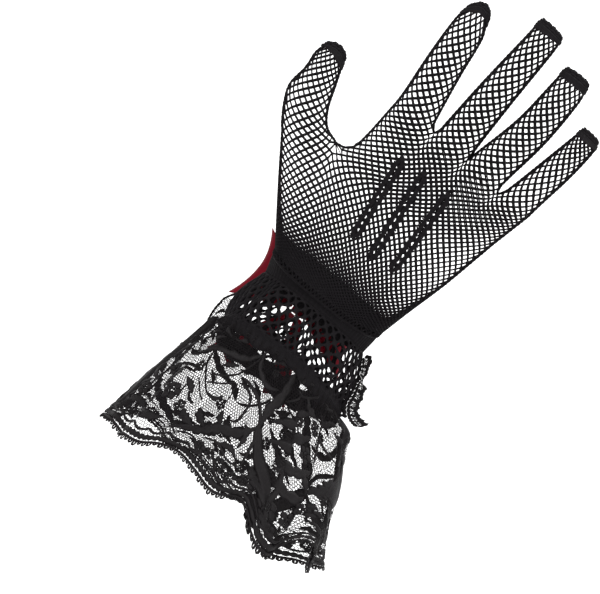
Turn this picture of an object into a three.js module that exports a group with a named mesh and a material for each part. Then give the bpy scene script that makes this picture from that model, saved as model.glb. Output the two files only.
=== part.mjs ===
// A right-hand dress glove in black fishnet, worn open on an empty hand form.
// The hand is two sheets of net sewn at the sides, with a dense seam across each fingertip,
// three stitched points on the back, an elastic wrist band, a frill of coarse net,
// a gathered band, a flared floral lace cuff with a scalloped hem, lace trims at both
// sides of the wrist and a red satin bow on the palm side.
// Millimetres. +Z runs from the wrist to the fingertips, the back of the hand faces -Y,
// the thumb is on the -X side, and the origin is the middle of the wrist.
import * as THREE from "three";

// Driving dimensions
const netWall = 1.2;
const laceWall = 1.1;
const bandWall = 1.6;
const ribbonWall = 0.9;
const seamGap = 0.3;
const digitGap = 0.7;
const columnsPerFinger = 5;
const thumbColumns = 6;
const handTilt = THREE.MathUtils.degToRad(14);

// Lower palm, from the wrist band (t 0) to the thumb web (t 1).
// split is the line that becomes the thumb web; y shifts a line towards the palm.
const lowerPalm = [
  { t: 0.0, leftX: -33.5, leftY: 0, leftZ: 10.4, splitX: -19, splitY: 0, splitZ: 10.4, rightX: 31.0, rightZ: 10.4, back: 19.5, front: 19.5 },
  { t: 0.3, leftX: -42.0, leftY: 2, leftZ: 21.0, splitX: -25, splitY: 1, splitZ: 25.5, rightX: 34.6, rightZ: 25.5, back: 15.8, front: 17.5 },
  { t: 0.65, leftX: -55.5, leftY: 6, leftZ: 38.2, splitX: -34, splitY: 2, splitZ: 47.0, rightX: 40.1, rightZ: 47.0, back: 13.0, front: 16.0 },
  { t: 1.0, leftX: -68.0, leftY: 10, leftZ: 54.8, splitX: -43.5, splitY: 4, splitZ: 67.0, rightX: 44.2, rightZ: 68.0, back: 12.6, front: 13.6 },
];

// Upper palm, from the thumb web (t 0) to the webs between the fingers (t 1).
const upperPalm = [
  { t: 0.0, leftX: -43.5, leftY: 4, leftZ: 67.0, rightX: 44.2, rightZ: 68.0, back: 12.6, front: 13.6 },
  { t: 0.12, leftX: -38.4, leftY: 3, leftZ: 68.3, rightX: 45.0, rightZ: 72.0, back: 12.6, front: 13.4 },
  { t: 0.25, leftX: -34.9, leftY: 2, leftZ: 72.8, rightX: 45.7, rightZ: 76.0, back: 12.6, front: 13.0 },
  { t: 1.0, leftX: -32.9, leftY: 0, leftZ: 100.5, rightX: 50.6, rightZ: 98.0, back: 11.0, front: 10.5 },
];

// Webs between the fingers, as a share of the palm's width and a height.
const webs = [
  { name: "index_middle", share: 0.279, z: 101.0 },
  { name: "middle_ring", share: 0.527, z: 100.8 },
  { name: "ring_little", share: 0.781, z: 97.4 },
];
const webFadeStart = 0.4;
const thumbFadeStart = 0.55;

// Each digit from its web to its seam: left and right edge, shift to the palm, half depth.
const digits = {
  thumb: {
    columns: thumbColumns,
    round: 3.0,
    seam: 3.2,
    stations: [
      { t: 0.0, leftX: -68.0, leftZ: 54.8, rightX: -43.5, rightZ: 66.6, y: 7, depth: 12.0 },
      { t: 0.2, leftX: -75.0, leftZ: 64.4, rightX: -51.5, rightZ: 68.6, y: 11, depth: 11.2 },
      { t: 0.4, leftX: -78.9, leftZ: 73.2, rightX: -57.0, rightZ: 75.2, y: 14, depth: 10.0 },
      { t: 0.6, leftX: -77.9, leftZ: 83.4, rightX: -61.0, rightZ: 85.0, y: 17, depth: 8.8 },
      { t: 0.82, leftX: -78.8, leftZ: 91.4, rightX: -63.6, rightZ: 91.4, y: 19, depth: 7.2 },
      { t: 1.0, leftX: -77.6, leftZ: 96.2, rightX: -65.4, rightZ: 95.8, y: 20, depth: 3.0 },
    ],
  },
  index: {
    columns: columnsPerFinger,
    round: 5.4,
    seam: 3.2,
    stations: [
      { t: 0.0, leftX: -32.9, leftZ: 100.5, rightX: -9.6, rightZ: 101.0, y: 0, depth: 9.6 },
      { t: 0.03, leftX: -32.9, leftZ: 102.4, rightX: -11.7, rightZ: 102.2, y: 0, depth: 9.5 },
      { t: 0.12, leftX: -33.1, leftZ: 107.5, rightX: -13.2, rightZ: 107.5, y: 0, depth: 9.2 },
      { t: 0.5, leftX: -35.2, leftZ: 130.0, rightX: -17.3, rightZ: 130.0, y: 1, depth: 8.2 },
      { t: 0.86, leftX: -36.0, leftZ: 149.0, rightX: -20.2, rightZ: 149.0, y: 4, depth: 7.0 },
      { t: 1.0, leftX: -35.0, leftZ: 154.8, rightX: -23.2, rightZ: 155.6, y: 5, depth: 3.0 },
    ],
  },
  middle: {
    columns: columnsPerFinger,
    round: 0.6,
    seam: 3.4,
    stations: [
      { t: 0.0, leftX: -9.6, leftZ: 101.0, rightX: 11.1, rightZ: 100.8, y: 0, depth: 9.6 },
      { t: 0.03, leftX: -8.3, leftZ: 102.8, rightX: 11.1, rightZ: 103.2, y: 0, depth: 9.5 },
      { t: 0.1, leftX: -8.0, leftZ: 108.0, rightX: 10.6, rightZ: 108.0, y: 0, depth: 9.2 },
      { t: 0.5, leftX: -6.6, leftZ: 135.0, rightX: 10.1, rightZ: 135.0, y: 1, depth: 8.2 },
      { t: 0.88, leftX: -4.2, leftZ: 165.0, rightX: 10.1, rightZ: 165.0, y: 4, depth: 6.8 },
      { t: 1.0, leftX: -3.8, leftZ: 172.0, rightX: 9.6, rightZ: 170.8, y: 5, depth: 3.0 },
    ],
  },
  ring: {
    columns: columnsPerFinger,
    round: 0.8,
    seam: 3.2,
    stations: [
      { t: 0.0, leftX: 11.1, leftZ: 100.8, rightX: 32.3, rightZ: 97.4, y: 0, depth: 9.2 },
      { t: 0.03, leftX: 11.5, leftZ: 102.6, rightX: 31.2, rightZ: 99.4, y: 0, depth: 9.1 },
      { t: 0.11, leftX: 12.5, leftZ: 107.0, rightX: 31.6, rightZ: 105.5, y: 0, depth: 8.8 },
      { t: 0.5, leftX: 17.7, leftZ: 131.0, rightX: 34.6, rightZ: 130.0, y: 1, depth: 7.8 },
      { t: 0.87, leftX: 19.6, leftZ: 154.0, rightX: 34.9, rightZ: 154.0, y: 4, depth: 6.6 },
      { t: 1.0, leftX: 20.0, leftZ: 161.4, rightX: 33.6, rightZ: 161.6, y: 5, depth: 3.0 },
    ],
  },
  little: {
    columns: columnsPerFinger,
    round: 0.4,
    seam: 4.2,
    stations: [
      { t: 0.0, leftX: 32.3, leftZ: 97.4, rightX: 50.6, rightZ: 98.0, y: 0, depth: 8.2 },
      { t: 0.04, leftX: 34.2, leftZ: 99.2, rightX: 50.8, rightZ: 100.0, y: 0, depth: 8.1 },
      { t: 0.14, leftX: 36.0, leftZ: 105.5, rightX: 51.4, rightZ: 105.0, y: 0, depth: 7.8 },
      { t: 0.5, leftX: 40.5, leftZ: 126.0, rightX: 54.2, rightZ: 125.0, y: 1, depth: 6.8 },
      { t: 0.84, leftX: 43.8, leftZ: 141.0, rightX: 55.2, rightZ: 140.6, y: 3, depth: 5.8 },
      { t: 1.0, leftX: 44.6, leftZ: 144.4, rightX: 54.4, rightZ: 143.6, y: 4, depth: 3.0 },
    ],
  },
};

// Rings of the wrist and cuff, down the forearm: centre, half width in X, half depth in Y,
// and the rise of the ring towards +Y in degrees.
const sleeveRings = [
  { t: 0, x: -1.2, y: -2.4, z: 9.4, halfX: 32.3, halfY: 19.0, lean: 14 },
  { t: 1, x: 0.0, y: -0.4, z: -3.0, halfX: 30.6, halfY: 19.4, lean: -7 },
  { t: 2, x: 0.3, y: -2.5, z: -17.0, halfX: 34.0, halfY: 23.0, lean: -12 },
  { t: 3, x: 0.5, y: -5.5, z: -31.5, halfX: 36.5, halfY: 26.0, lean: -14 },
  { t: 4, x: 1.8, y: -7.5, z: -38.5, halfX: 38.0, halfY: 27.5, lean: -15 },
  { t: 5, x: 8.0, y: -14.0, z: -73.0, halfX: 50.5, halfY: 37.0, lean: -15 },
  { t: 6, x: 10.8, y: -20.0, z: -103.0, halfX: 56.8, halfY: 42.0, lean: -15 },
];

const backPoints = [
  { name: "back_point_1", footX: -8.4, footZ: 38.5, topX: -13.4, topZ: 80.0 },
  { name: "back_point_2", footX: 4.6, footZ: 36.0, topX: -0.8, topZ: 81.0 },
  { name: "back_point_3", footX: 16.3, footZ: 37.5, topX: 14.3, topZ: 80.5 },
];
const pointEyelets = 7;
const pointWidth = 5.0;
const pointThickness = 1.1;

const frillColumns = 22;
const frillHoleRows = 5;
const holeScale = 0.62;

const cuffColumns = 72;
const cuffRows = 5;
const cuffFolds = 9;
const farSideLift = 12;

// How far the hem drops below its ring round the cuff, one scallop after another.
const hem = [
  { t: 0.0, drop: 1.5 },
  { t: 0.05, drop: 4.0 },
  { t: 0.095, drop: 8.5 },
  { t: 0.135, drop: 9.0 },
  { t: 0.185, drop: 1.0 },
  { t: 0.23, drop: 5.0 },
  { t: 0.265, drop: 7.0 },
  { t: 0.305, drop: 0.0 },
  { t: 0.335, drop: 9.0 },
  { t: 0.37, drop: 12.0 },
  { t: 0.4, drop: 9.5 },
  { t: 0.435, drop: -1.5 },
  { t: 0.48, drop: -2.0 },
  { t: 0.52, drop: -4.0 },
  { t: 0.57, drop: -1.0 },
  { t: 0.62, drop: 5.0 },
  { t: 0.68, drop: -6.0 },
  { t: 0.73, drop: -3.0 },
  { t: 0.78, drop: -9.0 },
  { t: 0.83, drop: -5.0 },
  { t: 0.88, drop: -9.0 },
  { t: 0.94, drop: -3.0 },
  { t: 1.0, drop: 1.5 },
];

const black = new THREE.MeshStandardMaterial({ color: 0x17161a, roughness: 0.85, metalness: 0 });
const laceBlack = new THREE.MeshStandardMaterial({ color: 0x1d1b1f, roughness: 0.75, metalness: 0 });
const satinRed = new THREE.MeshStandardMaterial({ color: 0x7c1228, roughness: 0.35, metalness: 0 });

// Smooth value of one named column of a table at station t.
function valueAt(table, name, t) {
  let i = 0;
  while (i < table.length - 2 && t > table[i + 1].t) i += 1;
  const a = table[i];
  const b = table[i + 1];
  const before = table[Math.max(i - 1, 0)];
  const after = table[Math.min(i + 2, table.length - 1)];
  const span = b.t - a.t;
  const s = (t - a.t) / span;
  const slopeA = ((b[name] - before[name]) / (b.t - before.t)) * span;
  const slopeB = ((after[name] - a[name]) / (after.t - a.t)) * span;
  return (
    a[name] * (2 * s ** 3 - 3 * s ** 2 + 1) +
    slopeA * (s ** 3 - 2 * s ** 2 + s) +
    b[name] * (3 * s ** 2 - 2 * s ** 3) +
    slopeB * (s ** 3 - s ** 2)
  );
}

function smoothStep(low, high, value) {
  return THREE.MathUtils.smoothstep(value, low, high);
}

// Blunt oval used across the whole palm, and the round one used for a digit.
function bluntOval(across) {
  return Math.sqrt(Math.max(0, 1 - Math.abs(across) ** 2.6));
}
function roundOval(across) {
  return Math.sqrt(Math.max(0, 1 - across ** 2));
}

// The hand is bent back at the wrist, so its fingers lean towards the -Y side.
function bentBack(point) {
  const y = point.y * Math.cos(handTilt) - point.z * Math.tan(handTilt);
  return new THREE.Vector3(point.x, y, point.z + point.y * Math.sin(handTilt));
}

// Points at equal steps along a curve drawn through dense samples.
function equalSteps(dense, steps) {
  const run = [0];
  for (let i = 1; i < dense.length; i += 1) run.push(run[i - 1] + dense[i].distanceTo(dense[i - 1]));
  const points = [];
  let k = 0;
  for (let i = 0; i <= steps; i += 1) {
    const target = (run[run.length - 1] * i) / steps;
    while (k < run.length - 2 && run[k + 1] < target) k += 1;
    const s = (target - run[k]) / Math.max(run[k + 1] - run[k], 1e-9);
    points.push(dense[k].clone().lerp(dense[k + 1], Math.min(s, 1)));
  }
  return points;
}

// One row of a net sheet: spans between knots, each with its columns, raised by depthAt.
function sheetRow(knots, columns, side, depthAt) {
  const samples = 24;
  const row = [];
  for (let j = 0; j < columns.length; j += 1) {
    const dense = [];
    for (let i = 0; i <= samples; i += 1) {
      const s = 0.5 - 0.5 * Math.cos((Math.PI * i) / samples);
      const point = knots[j].clone().lerp(knots[j + 1], s);
      point.y += side * depthAt(j, s, point);
      dense.push(point);
    }
    const steps = equalSteps(dense, columns[j]);
    row.push(...(j ? steps.slice(1) : steps));
  }
  return row.map(bentBack);
}

function acrossOf(point, from, to) {
  return (2 * (point.x - from.x)) / (to.x - from.x) - 1;
}

const fourFingers = [0, 1, 2, 3].map(() => columnsPerFinger);

function lowerPalmRow(t, side) {
  const v = (name) => valueAt(lowerPalm, name, t);
  const left = new THREE.Vector3(v("leftX"), v("leftY"), v("leftZ"));
  const split = new THREE.Vector3(v("splitX"), v("splitY"), v("splitZ"));
  const right = new THREE.Vector3(v("rightX"), 0, v("rightZ"));
  const depth = side < 0 ? v("back") : v("front");
  const pinch = smoothStep(thumbFadeStart, 1, t);
  const thumbDepth = digits.thumb.stations[0].depth;
  const inner = webs.map((web) => split.clone().lerp(right, web.share));
  const knots = [left, split, ...inner, right];
  return sheetRow(knots, [thumbColumns, ...fourFingers], side, (j, s, point) => {
    const whole = depth * bluntOval(acrossOf(point, left, right));
    const own = j === 0
      ? thumbDepth * roundOval(2 * s - 1)
      : depth * bluntOval(acrossOf(point, split, right));
    return (1 - pinch) * whole + pinch * own;
  });
}

function upperPalmRow(t, side) {
  const v = (name) => valueAt(upperPalm, name, t);
  const left = new THREE.Vector3(v("leftX"), v("leftY"), v("leftZ"));
  const right = new THREE.Vector3(v("rightX"), 0, v("rightZ"));
  const depth = side < 0 ? v("back") : v("front");
  const pinch = smoothStep(webFadeStart, 1, t);
  const inner = webs.map((web) => {
    const knot = left.clone().lerp(right, web.share);
    knot.z = THREE.MathUtils.lerp(knot.z, web.z, t * t);
    return knot;
  });
  const knots = [left, ...inner, right];
  const names = ["index", "middle", "ring", "little"];
  return sheetRow(knots, fourFingers, side, (j, s, point) => {
    const whole = depth * bluntOval(acrossOf(point, left, right));
    const own = digits[names[j]].stations[0].depth * roundOval(2 * s - 1);
    return (1 - pinch) * whole + pinch * own;
  });
}

function digitRow(name, t, side) {
  const { stations, columns, round } = digits[name];
  const v = (column) => valueAt(stations, column, t);
  const left = new THREE.Vector3(v("leftX"), v("y"), v("leftZ"));
  const right = new THREE.Vector3(v("rightX"), v("y"), v("rightZ"));
  const depth = v("depth");
  const rounding = round * smoothStep(0.7, 1, t);
  const row = sheetRow([left, right], [columns], side, (j, s) => depth * roundOval(2 * s - 1));
  return row.map((point, i) => {
    const across = (2 * i) / columns - 1;
    return new THREE.Vector3(point.x, point.y, point.z + rounding * (1 - across ** 2));
  });
}

// Faces between neighbouring rows. Rows run from the thumb side to the little finger side.
function facesBetween(lower, upper, side) {
  const faces = [];
  for (let i = 0; i + 1 < lower.length; i += 1) {
    const face = [lower[i], lower[i + 1], upper[i + 1], upper[i]];
    faces.push(side < 0 ? face : face.reverse());
  }
  return faces;
}

// A closed solid from a sheet of faces: the sheet, its copy one wall inside, and the rims.
function sheetSolid(faces, wall) {
  const ids = new Map();
  const points = [];
  const idOf = (p) => {
    const key = [p.x, p.y, p.z].map((value) => Math.round(value * 200)).join(" ");
    if (!ids.has(key)) {
      ids.set(key, points.length);
      points.push(p.clone());
    }
    return ids.get(key);
  };
  const polygons = faces
    .map((face) => face.map(idOf).filter((id, i, all) => id !== all[(i + 1) % all.length]))
    .filter((polygon) => polygon.length > 2);
  const normals = points.map(() => new THREE.Vector3());
  for (const polygon of polygons) {
    const normal = new THREE.Vector3();
    for (let i = 1; i + 1 < polygon.length; i += 1) {
      const a = points[polygon[i]].clone().sub(points[polygon[0]]);
      normal.add(a.cross(points[polygon[i + 1]].clone().sub(points[polygon[0]])));
    }
    for (const id of polygon) normals[id].add(normal);
  }
  const inside = points.map((p, i) => p.clone().addScaledVector(normals[i].normalize(), -wall));
  const all = [...points, ...inside];
  const triangles = [];
  const edges = new Map();
  for (const polygon of polygons) {
    for (let i = 1; i + 1 < polygon.length; i += 1) {
      triangles.push([polygon[0], polygon[i], polygon[i + 1]]);
      triangles.push([polygon[0], polygon[i + 1], polygon[i]].map((id) => id + points.length));
    }
    polygon.forEach((id, i) => edges.set(id + " " + polygon[(i + 1) % polygon.length], true));
  }
  for (const key of edges.keys()) {
    const [a, b] = key.split(" ").map(Number);
    if (edges.has(b + " " + a)) continue;
    triangles.push([b, a, a + points.length], [b, a + points.length, b + points.length]);
  }
  const geometry = new THREE.BufferGeometry();
  geometry.setAttribute("position", new THREE.Float32BufferAttribute(all.flatMap((p) => p.toArray()), 3));
  geometry.setIndex(triangles.flat());
  geometry.computeVertexNormals();
  return geometry;
}

const glove = new THREE.Group();
glove.name = "lace_glove";

function addNode(name, geometry, material) {
  const mesh = new THREE.Mesh(geometry, material);
  mesh.name = name;
  glove.add(mesh);
}

const sides = [-1, 1];
const stubShare = (name) => 7 / (digits[name].stations.at(-1).leftZ - digits[name].stations[0].leftZ);

// Palm and back of the hand, with a short stub of every digit above its web.
function palmFaces() {
  const faces = [];
  const lowerSteps = [0, 0.18, 0.38, 0.6, 0.8, 1];
  const upperSteps = [0, 0.12, 0.3, 0.6, 0.82, 1];
  const names = ["index", "middle", "ring", "little"];
  for (const side of sides) {
    const lower = lowerSteps.map((t) => lowerPalmRow(t, side));
    for (let r = 0; r + 1 < lower.length; r += 1) faces.push(...facesBetween(lower[r], lower[r + 1], side));
    const web = lower.at(-1);
    faces.push(...facesBetween(web.slice(0, thumbColumns + 1), digitRow("thumb", stubShare("thumb"), side), side));
    const upper = [web.slice(thumbColumns), ...upperSteps.slice(1).map((t) => upperPalmRow(t, side))];
    for (let r = 0; r + 1 < upper.length; r += 1) faces.push(...facesBetween(upper[r], upper[r + 1], side));
    names.forEach((name, j) => {
      const root = upper.at(-1).slice(j * columnsPerFinger, (j + 1) * columnsPerFinger + 1);
      const crotch = digitRow(name, digits[name].stations[1].t, side);
      faces.push(...facesBetween(root, crotch, side));
      faces.push(...facesBetween(crotch, digitRow(name, stubShare(name), side), side));
    });
  }
  return faces;
}

// A digit from just above its stub to its closed end.
function digitFaces(name) {
  const faces = [];
  const { stations } = digits[name];
  const length = stations.at(-1).leftZ - stations[0].leftZ;
  const start = stubShare(name) + digitGap / length;
  const steps = [start, 0.35, 0.6, 0.82, 0.94, 1];
  const ends = [];
  for (const side of sides) {
    const rows = steps.map((t) => digitRow(name, t, side));
    for (let r = 0; r + 1 < rows.length; r += 1) faces.push(...facesBetween(rows[r], rows[r + 1], side));
    ends.push(rows.at(-1));
  }
  const [back, front] = ends;
  for (let i = 0; i + 1 < back.length; i += 1) faces.push([back[i], back[i + 1], front[i + 1], front[i]]);
  return faces;
}

// Dense seam laid over the closed end of a digit: a flattened roll along the end row.
function tipSeam(name) {
  const { seam, columns } = digits[name];
  const back = digitRow(name, 1, -1);
  const front = digitRow(name, 1, 1);
  const middle = back.map((point, i) => point.clone().lerp(front[i], 0.5));
  const overhang = 0.8;
  middle[0].x -= overhang;
  middle[columns].x += overhang;
  const lift = seam / 2 + seamGap + 0.2;
  const raised = middle.map((point, i) => {
    const before = middle[Math.max(i - 1, 0)];
    const after = middle[Math.min(i + 1, columns)];
    const along = after.clone().sub(before).normalize();
    return new THREE.Vector3(point.x - along.z * lift, point.y, point.z + along.x * lift);
  });
  const path = new THREE.CatmullRomCurve3(raised);
  const section = new THREE.Shape();
  section.absellipse(0, 0, seam / 2, 2.6, 0, Math.PI * 2);
  const steps = 9;
  const frames = path.computeFrenetFrames(steps);
  const across = new THREE.Vector3(0, 1, 0);
  const corners = section.getPoints(2).slice(0, 8);
  const rings = [];
  for (let i = 0; i <= steps; i += 1) {
    const point = path.getPointAt(i / steps);
    const up = frames.tangents[i].clone().cross(across).negate();
    const swell = i === 0 || i === steps ? 0.75 : 1 + 0.08 * (i % 2);
    rings.push(corners.map((c) => point.clone().addScaledVector(up, c.x * swell).addScaledVector(across, c.y * swell)));
  }
  return solidFromRings(rings);
}

// A closed solid through rings of equal corner counts, with flat ends.
function solidFromRings(rings) {
  const corners = rings[0].length;
  const positions = rings.flat().flatMap((p) => p.toArray());
  const faces = [];
  for (let r = 0; r + 1 < rings.length; r += 1) {
    for (let i = 0; i < corners; i += 1) {
      const next = (i + 1) % corners;
      const a = r * corners;
      const b = a + corners;
      faces.push(a + i, a + next, b + next, a + i, b + next, b + i);
    }
  }
  const last = (rings.length - 1) * corners;
  for (let i = 1; i + 1 < corners; i += 1) {
    faces.push(0, i + 1, i);
    faces.push(last, last + i, last + i + 1);
  }
  const geometry = new THREE.BufferGeometry();
  geometry.setAttribute("position", new THREE.Float32BufferAttribute(positions, 3));
  geometry.setIndex(faces);
  if (signedVolume(geometry) < 0) {
    const index = geometry.getIndex().array;
    for (let i = 0; i < index.length; i += 3) [index[i + 1], index[i + 2]] = [index[i + 2], index[i + 1]];
  }
  geometry.computeVertexNormals();
  return geometry;
}

function signedVolume(geometry) {
  const position = geometry.getAttribute("position");
  const index = geometry.getIndex();
  const corner = (k) => new THREE.Vector3().fromBufferAttribute(position, index.getX(k));
  let volume = 0;
  for (let i = 0; i < index.count; i += 3) volume += corner(i).dot(corner(i + 1).cross(corner(i + 2))) / 6;
  return volume;
}

// Height of the back of the hand in -Y at a place on it.
function backOfHandY(x, z) {
  const rows = [];
  for (let t = 0.3; t < 1; t += 0.1) rows.push(lowerPalmRow(t, -1));
  for (let t = 0; t < 0.9; t += 0.15) rows.push(upperPalmRow(t, -1));
  const near = rows
    .flat()
    .map((p) => ({ p, far: Math.hypot(p.x - x, p.z - z) }))
    .sort((a, b) => a.far - b.far)
    .slice(0, 6);
  const weight = near.map((n) => 1 / (n.far ** 2 + 1));
  const total = weight.reduce((sum, w) => sum + w, 0);
  return near.reduce((sum, n, i) => sum + (n.p.y * weight[i]) / total, 0);
}

// One stitched point: a narrow strip with a row of eyelets, standing just clear of the net.
function backPoint(point) {
  const rows = pointEyelets * 2 + 1;
  const standOff = 0.9 + pointThickness;
  const grid = [];
  for (let r = 0; r <= rows; r += 1) {
    const s = r / rows;
    const x = THREE.MathUtils.lerp(point.footX, point.topX, s);
    const z = THREE.MathUtils.lerp(point.footZ, point.topZ, s);
    const taper = r === 0 || r === rows ? 0.5 : 1;
    grid.push(
      [-0.5, -0.18, 0.18, 0.5].map((share) => {
        const px = x + share * pointWidth * taper;
        return new THREE.Vector3(px, backOfHandY(px, z) - standOff, z);
      }),
    );
  }
  const faces = [];
  for (let r = 0; r < rows; r += 1) {
    for (let i = 0; i < 3; i += 1) {
      if (i === 1 && r % 2 === 1) continue;
      faces.push([grid[r][i], grid[r][i + 1], grid[r + 1][i + 1], grid[r + 1][i]]);
    }
  }
  return sheetSolid(faces, pointThickness);
}

// A point on the sleeve at station t and angle turn: 0 thumb side, a quarter back of hand.
function sleevePoint(t, turn, out = 0, drop = 0) {
  const v = (name) => valueAt(sleeveRings, name, t);
  const angle = turn * Math.PI * 2;
  const x = v("x") - (v("halfX") + out) * Math.cos(angle);
  const y = v("y") - (v("halfY") + out) * Math.sin(angle);
  const rise = (y - v("y")) * Math.tan(THREE.MathUtils.degToRad(v("lean")));
  return new THREE.Vector3(x, y, v("z") + rise - drop);
}

// A tube of the sleeve, from one station to another, shaped by out and drop functions.
function sleeveTube(from, to, rows, columns, wall, out, drop = () => 0) {
  const grid = [];
  for (let r = 0; r <= rows; r += 1) {
    const s = r / rows;
    const t = THREE.MathUtils.lerp(from, to, s);
    grid.push(
      Array.from({ length: columns }, (_, i) => {
        const turn = i / columns;
        return sleevePoint(t, turn, out(s, turn), drop(s, turn));
      }),
    );
  }
  const faces = [];
  for (let r = 0; r < rows; r += 1) {
    for (let i = 0; i < columns; i += 1) {
      const next = (i + 1) % columns;
      faces.push([grid[r][next], grid[r][i], grid[r + 1][i], grid[r + 1][next]]);
    }
  }
  return sheetSolid(faces, wall);
}

function ripple(turn, count, phase = 0) {
  return Math.sin(turn * Math.PI * 2 * count + phase);
}

// Frill of coarse net: a lattice of diamond holes cut through, between two headers.
function frillSolid() {
  const from = 1.03;
  const to = 2.94;
  const halfColumns = frillColumns * 2;
  const halfRows = frillHoleRows + 1;
  const header = 0.1;
  const place = (i, j) => {
    const turn = (((i / halfColumns) % 1) + 1) % 1;
    const share = header + ((1 - 2 * header) * j) / halfRows;
    const clamped = Math.min(Math.max(share, 0), 1);
    const swell = Math.sin(clamped * Math.PI);
    const out = 0.3 + swell * (1.6 + 1.2 * ripple(turn, 9) + 0.8 * ripple(turn, 14, 1));
    return sleevePoint(THREE.MathUtils.lerp(from, to, clamped), turn, out);
  };
  const faces = [];
  for (let j = 1; j < halfRows; j += 1) {
    for (let i = 0; i < halfColumns; i += 1) {
      if ((i + j) % 2 === 0) continue;
      const corners = [place(i - 1, j), place(i, j + 1), place(i + 1, j), place(i, j - 1)];
      const centre = place(i, j);
      const hole = corners.map((c) => centre.clone().lerp(c, holeScale));
      corners.forEach((corner, k) => {
        const next = (k + 1) % 4;
        faces.push([corner, corners[next], hole[next], hole[k]]);
      });
    }
  }
  for (let i = 0; i < halfColumns; i += 2) {
    faces.push([place(i, 0), place(i + 1, 1), place(i + 2, 0)]);
    faces.push([place(i + 2, -1), place(i, -1), place(i, 0), place(i + 2, 0)]);
    const odd = halfRows % 2;
    faces.push([place(i + 2 + odd, halfRows), place(i + 1 + odd, halfRows - 1), place(i + odd, halfRows)]);
    faces.push([
      place(i + odd, halfRows + 1),
      place(i + 2 + odd, halfRows + 1),
      place(i + 2 + odd, halfRows),
      place(i + odd, halfRows),
    ]);
  }
  return sheetSolid(faces, 1.4);
}

function bell(value, middle, width) {
  return Math.exp(-(((value - middle) / width) ** 2));
}

// Flared lace cuff: folds that deepen towards the hem, a full flare at the
// little-finger side with a lobe behind it, and a scalloped hem.
function cuffOut(s, turn) {
  const folds = s * (2.6 * ripple(turn, cuffFolds, 0.6) + 1.2 * ripple(turn, cuffFolds * 2, 1.9));
  const flare = 12 * smoothStep(0, 0.14, s) * (1 - 0.35 * s) * bell(turn, 0.51, 0.075);
  const lobe = 12 * s ** 1.6 * bell(turn, 0.57, 0.045);
  return folds + flare + lobe;
}
function cuffDrop(s, turn) {
  const farSide = Math.max(0, -Math.sin(turn * Math.PI * 2));
  return s ** 3 * valueAt(hem, "drop", turn) - farSideLift * s * farSide;
}

// A narrow strip of trim: its inner edge lies near the sleeve, its outer edge stands away.
function trimSolid(stations, wall) {
  const grid = stations.map((row) => {
    const inner = sleevePoint(row.t, row.turn, row.out);
    const outer = inner.clone().add(new THREE.Vector3(row.awayX, row.awayY, row.awayZ));
    return [inner, inner.clone().lerp(outer, 0.5), outer];
  });
  const faces = [];
  for (let r = 0; r + 1 < grid.length; r += 1) {
    for (let i = 0; i < 2; i += 1) faces.push([grid[r][i], grid[r][i + 1], grid[r + 1][i + 1], grid[r + 1][i]]);
  }
  return sheetSolid(faces, wall);
}

// Lace trim at the little-finger side, rippling down the frill and ending in a loose tail.
const sideTrim = [
  { t: 1.1, turn: 0.49, out: 1.4, awayX: 2.2, awayY: -1.5, awayZ: 2.6 },
  { t: 1.35, turn: 0.475, out: 3.0, awayX: 2.6, awayY: -2.6, awayZ: 1.0 },
  { t: 1.7, turn: 0.49, out: 4.6, awayX: 1.4, awayY: -3.2, awayZ: -1.0 },
  { t: 2.0, turn: 0.47, out: 4.8, awayX: 3.0, awayY: -2.0, awayZ: 1.0 },
  { t: 2.35, turn: 0.485, out: 5.0, awayX: 3.4, awayY: -2.6, awayZ: 0.5 },
  { t: 2.7, turn: 0.48, out: 5.2, awayX: 4.2, awayY: -2.0, awayZ: 0.6 },
  { t: 3.15, turn: 0.48, out: 9.2, awayX: 4.2, awayY: -1.0, awayZ: 3.0 },
  { t: 3.6, turn: 0.48, out: 14.5, awayX: 3.2, awayY: 0.0, awayZ: 3.6 },
];

// Loose lace corner at the thumb side.
const thumbFlap = [
  { t: 2.3, turn: 0.97, out: 1.6, awayX: -2.4, awayY: 1.0, awayZ: -3.0 },
  { t: 2.6, turn: 0.965, out: 1.9, awayX: -7.6, awayY: 2.2, awayZ: -4.4 },
  { t: 2.85, turn: 0.96, out: 1.2, awayX: -8.4, awayY: 2.6, awayZ: -6.2 },
  { t: 3.05, turn: 0.96, out: 2.2, awayX: -3.6, awayY: 1.8, awayZ: -3.8 },
];

// Bow on the palm side of the wrist
const bowCentre = new THREE.Vector3(-6, 25.8, -3);
const loopReach = 32;
const ribbonHalfWidth = 7;
const loopFan = 19;

// One loop: the ribbon leaves the knot, turns round at its end and comes back behind.
function bowLoop(direction) {
  const steps = 12;
  const across = [-1, -0.33, 0.33, 1];
  const grid = [];
  for (let i = 0; i <= steps; i += 1) {
    const turn = (i / steps) * Math.PI * 2;
    const reach = 0.5 - 0.5 * Math.cos(turn);
    const half = THREE.MathUtils.lerp(4.2, loopFan, reach ** 0.8);
    grid.push(
      across.map((share) => {
        const lowerCorner = direction < 0 ? 3 * reach ** 3 * Math.max(0, -share) ** 2 : 0;
        const pinch = 7 * reach * (1 - share * share) + lowerCorner;
        const x = bowCentre.x + direction * (4.2 + loopReach * reach - pinch);
        const y = bowCentre.y - 7.0 * Math.sin(turn) * (0.35 + 0.65 * reach) - 1.2 * reach;
        const z = bowCentre.z + share * half + 1.2 * reach;
        return new THREE.Vector3(x, y, z);
      }),
    );
  }
  const faces = [];
  for (let r = 0; r < steps; r += 1) {
    for (let i = 0; i + 1 < across.length; i += 1) {
      const face = [grid[r][i], grid[r][i + 1], grid[r + 1][i + 1], grid[r + 1][i]];
      faces.push(direction < 0 ? face : face.reverse());
    }
  }
  return sheetSolid(faces, ribbonWall);
}

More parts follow.
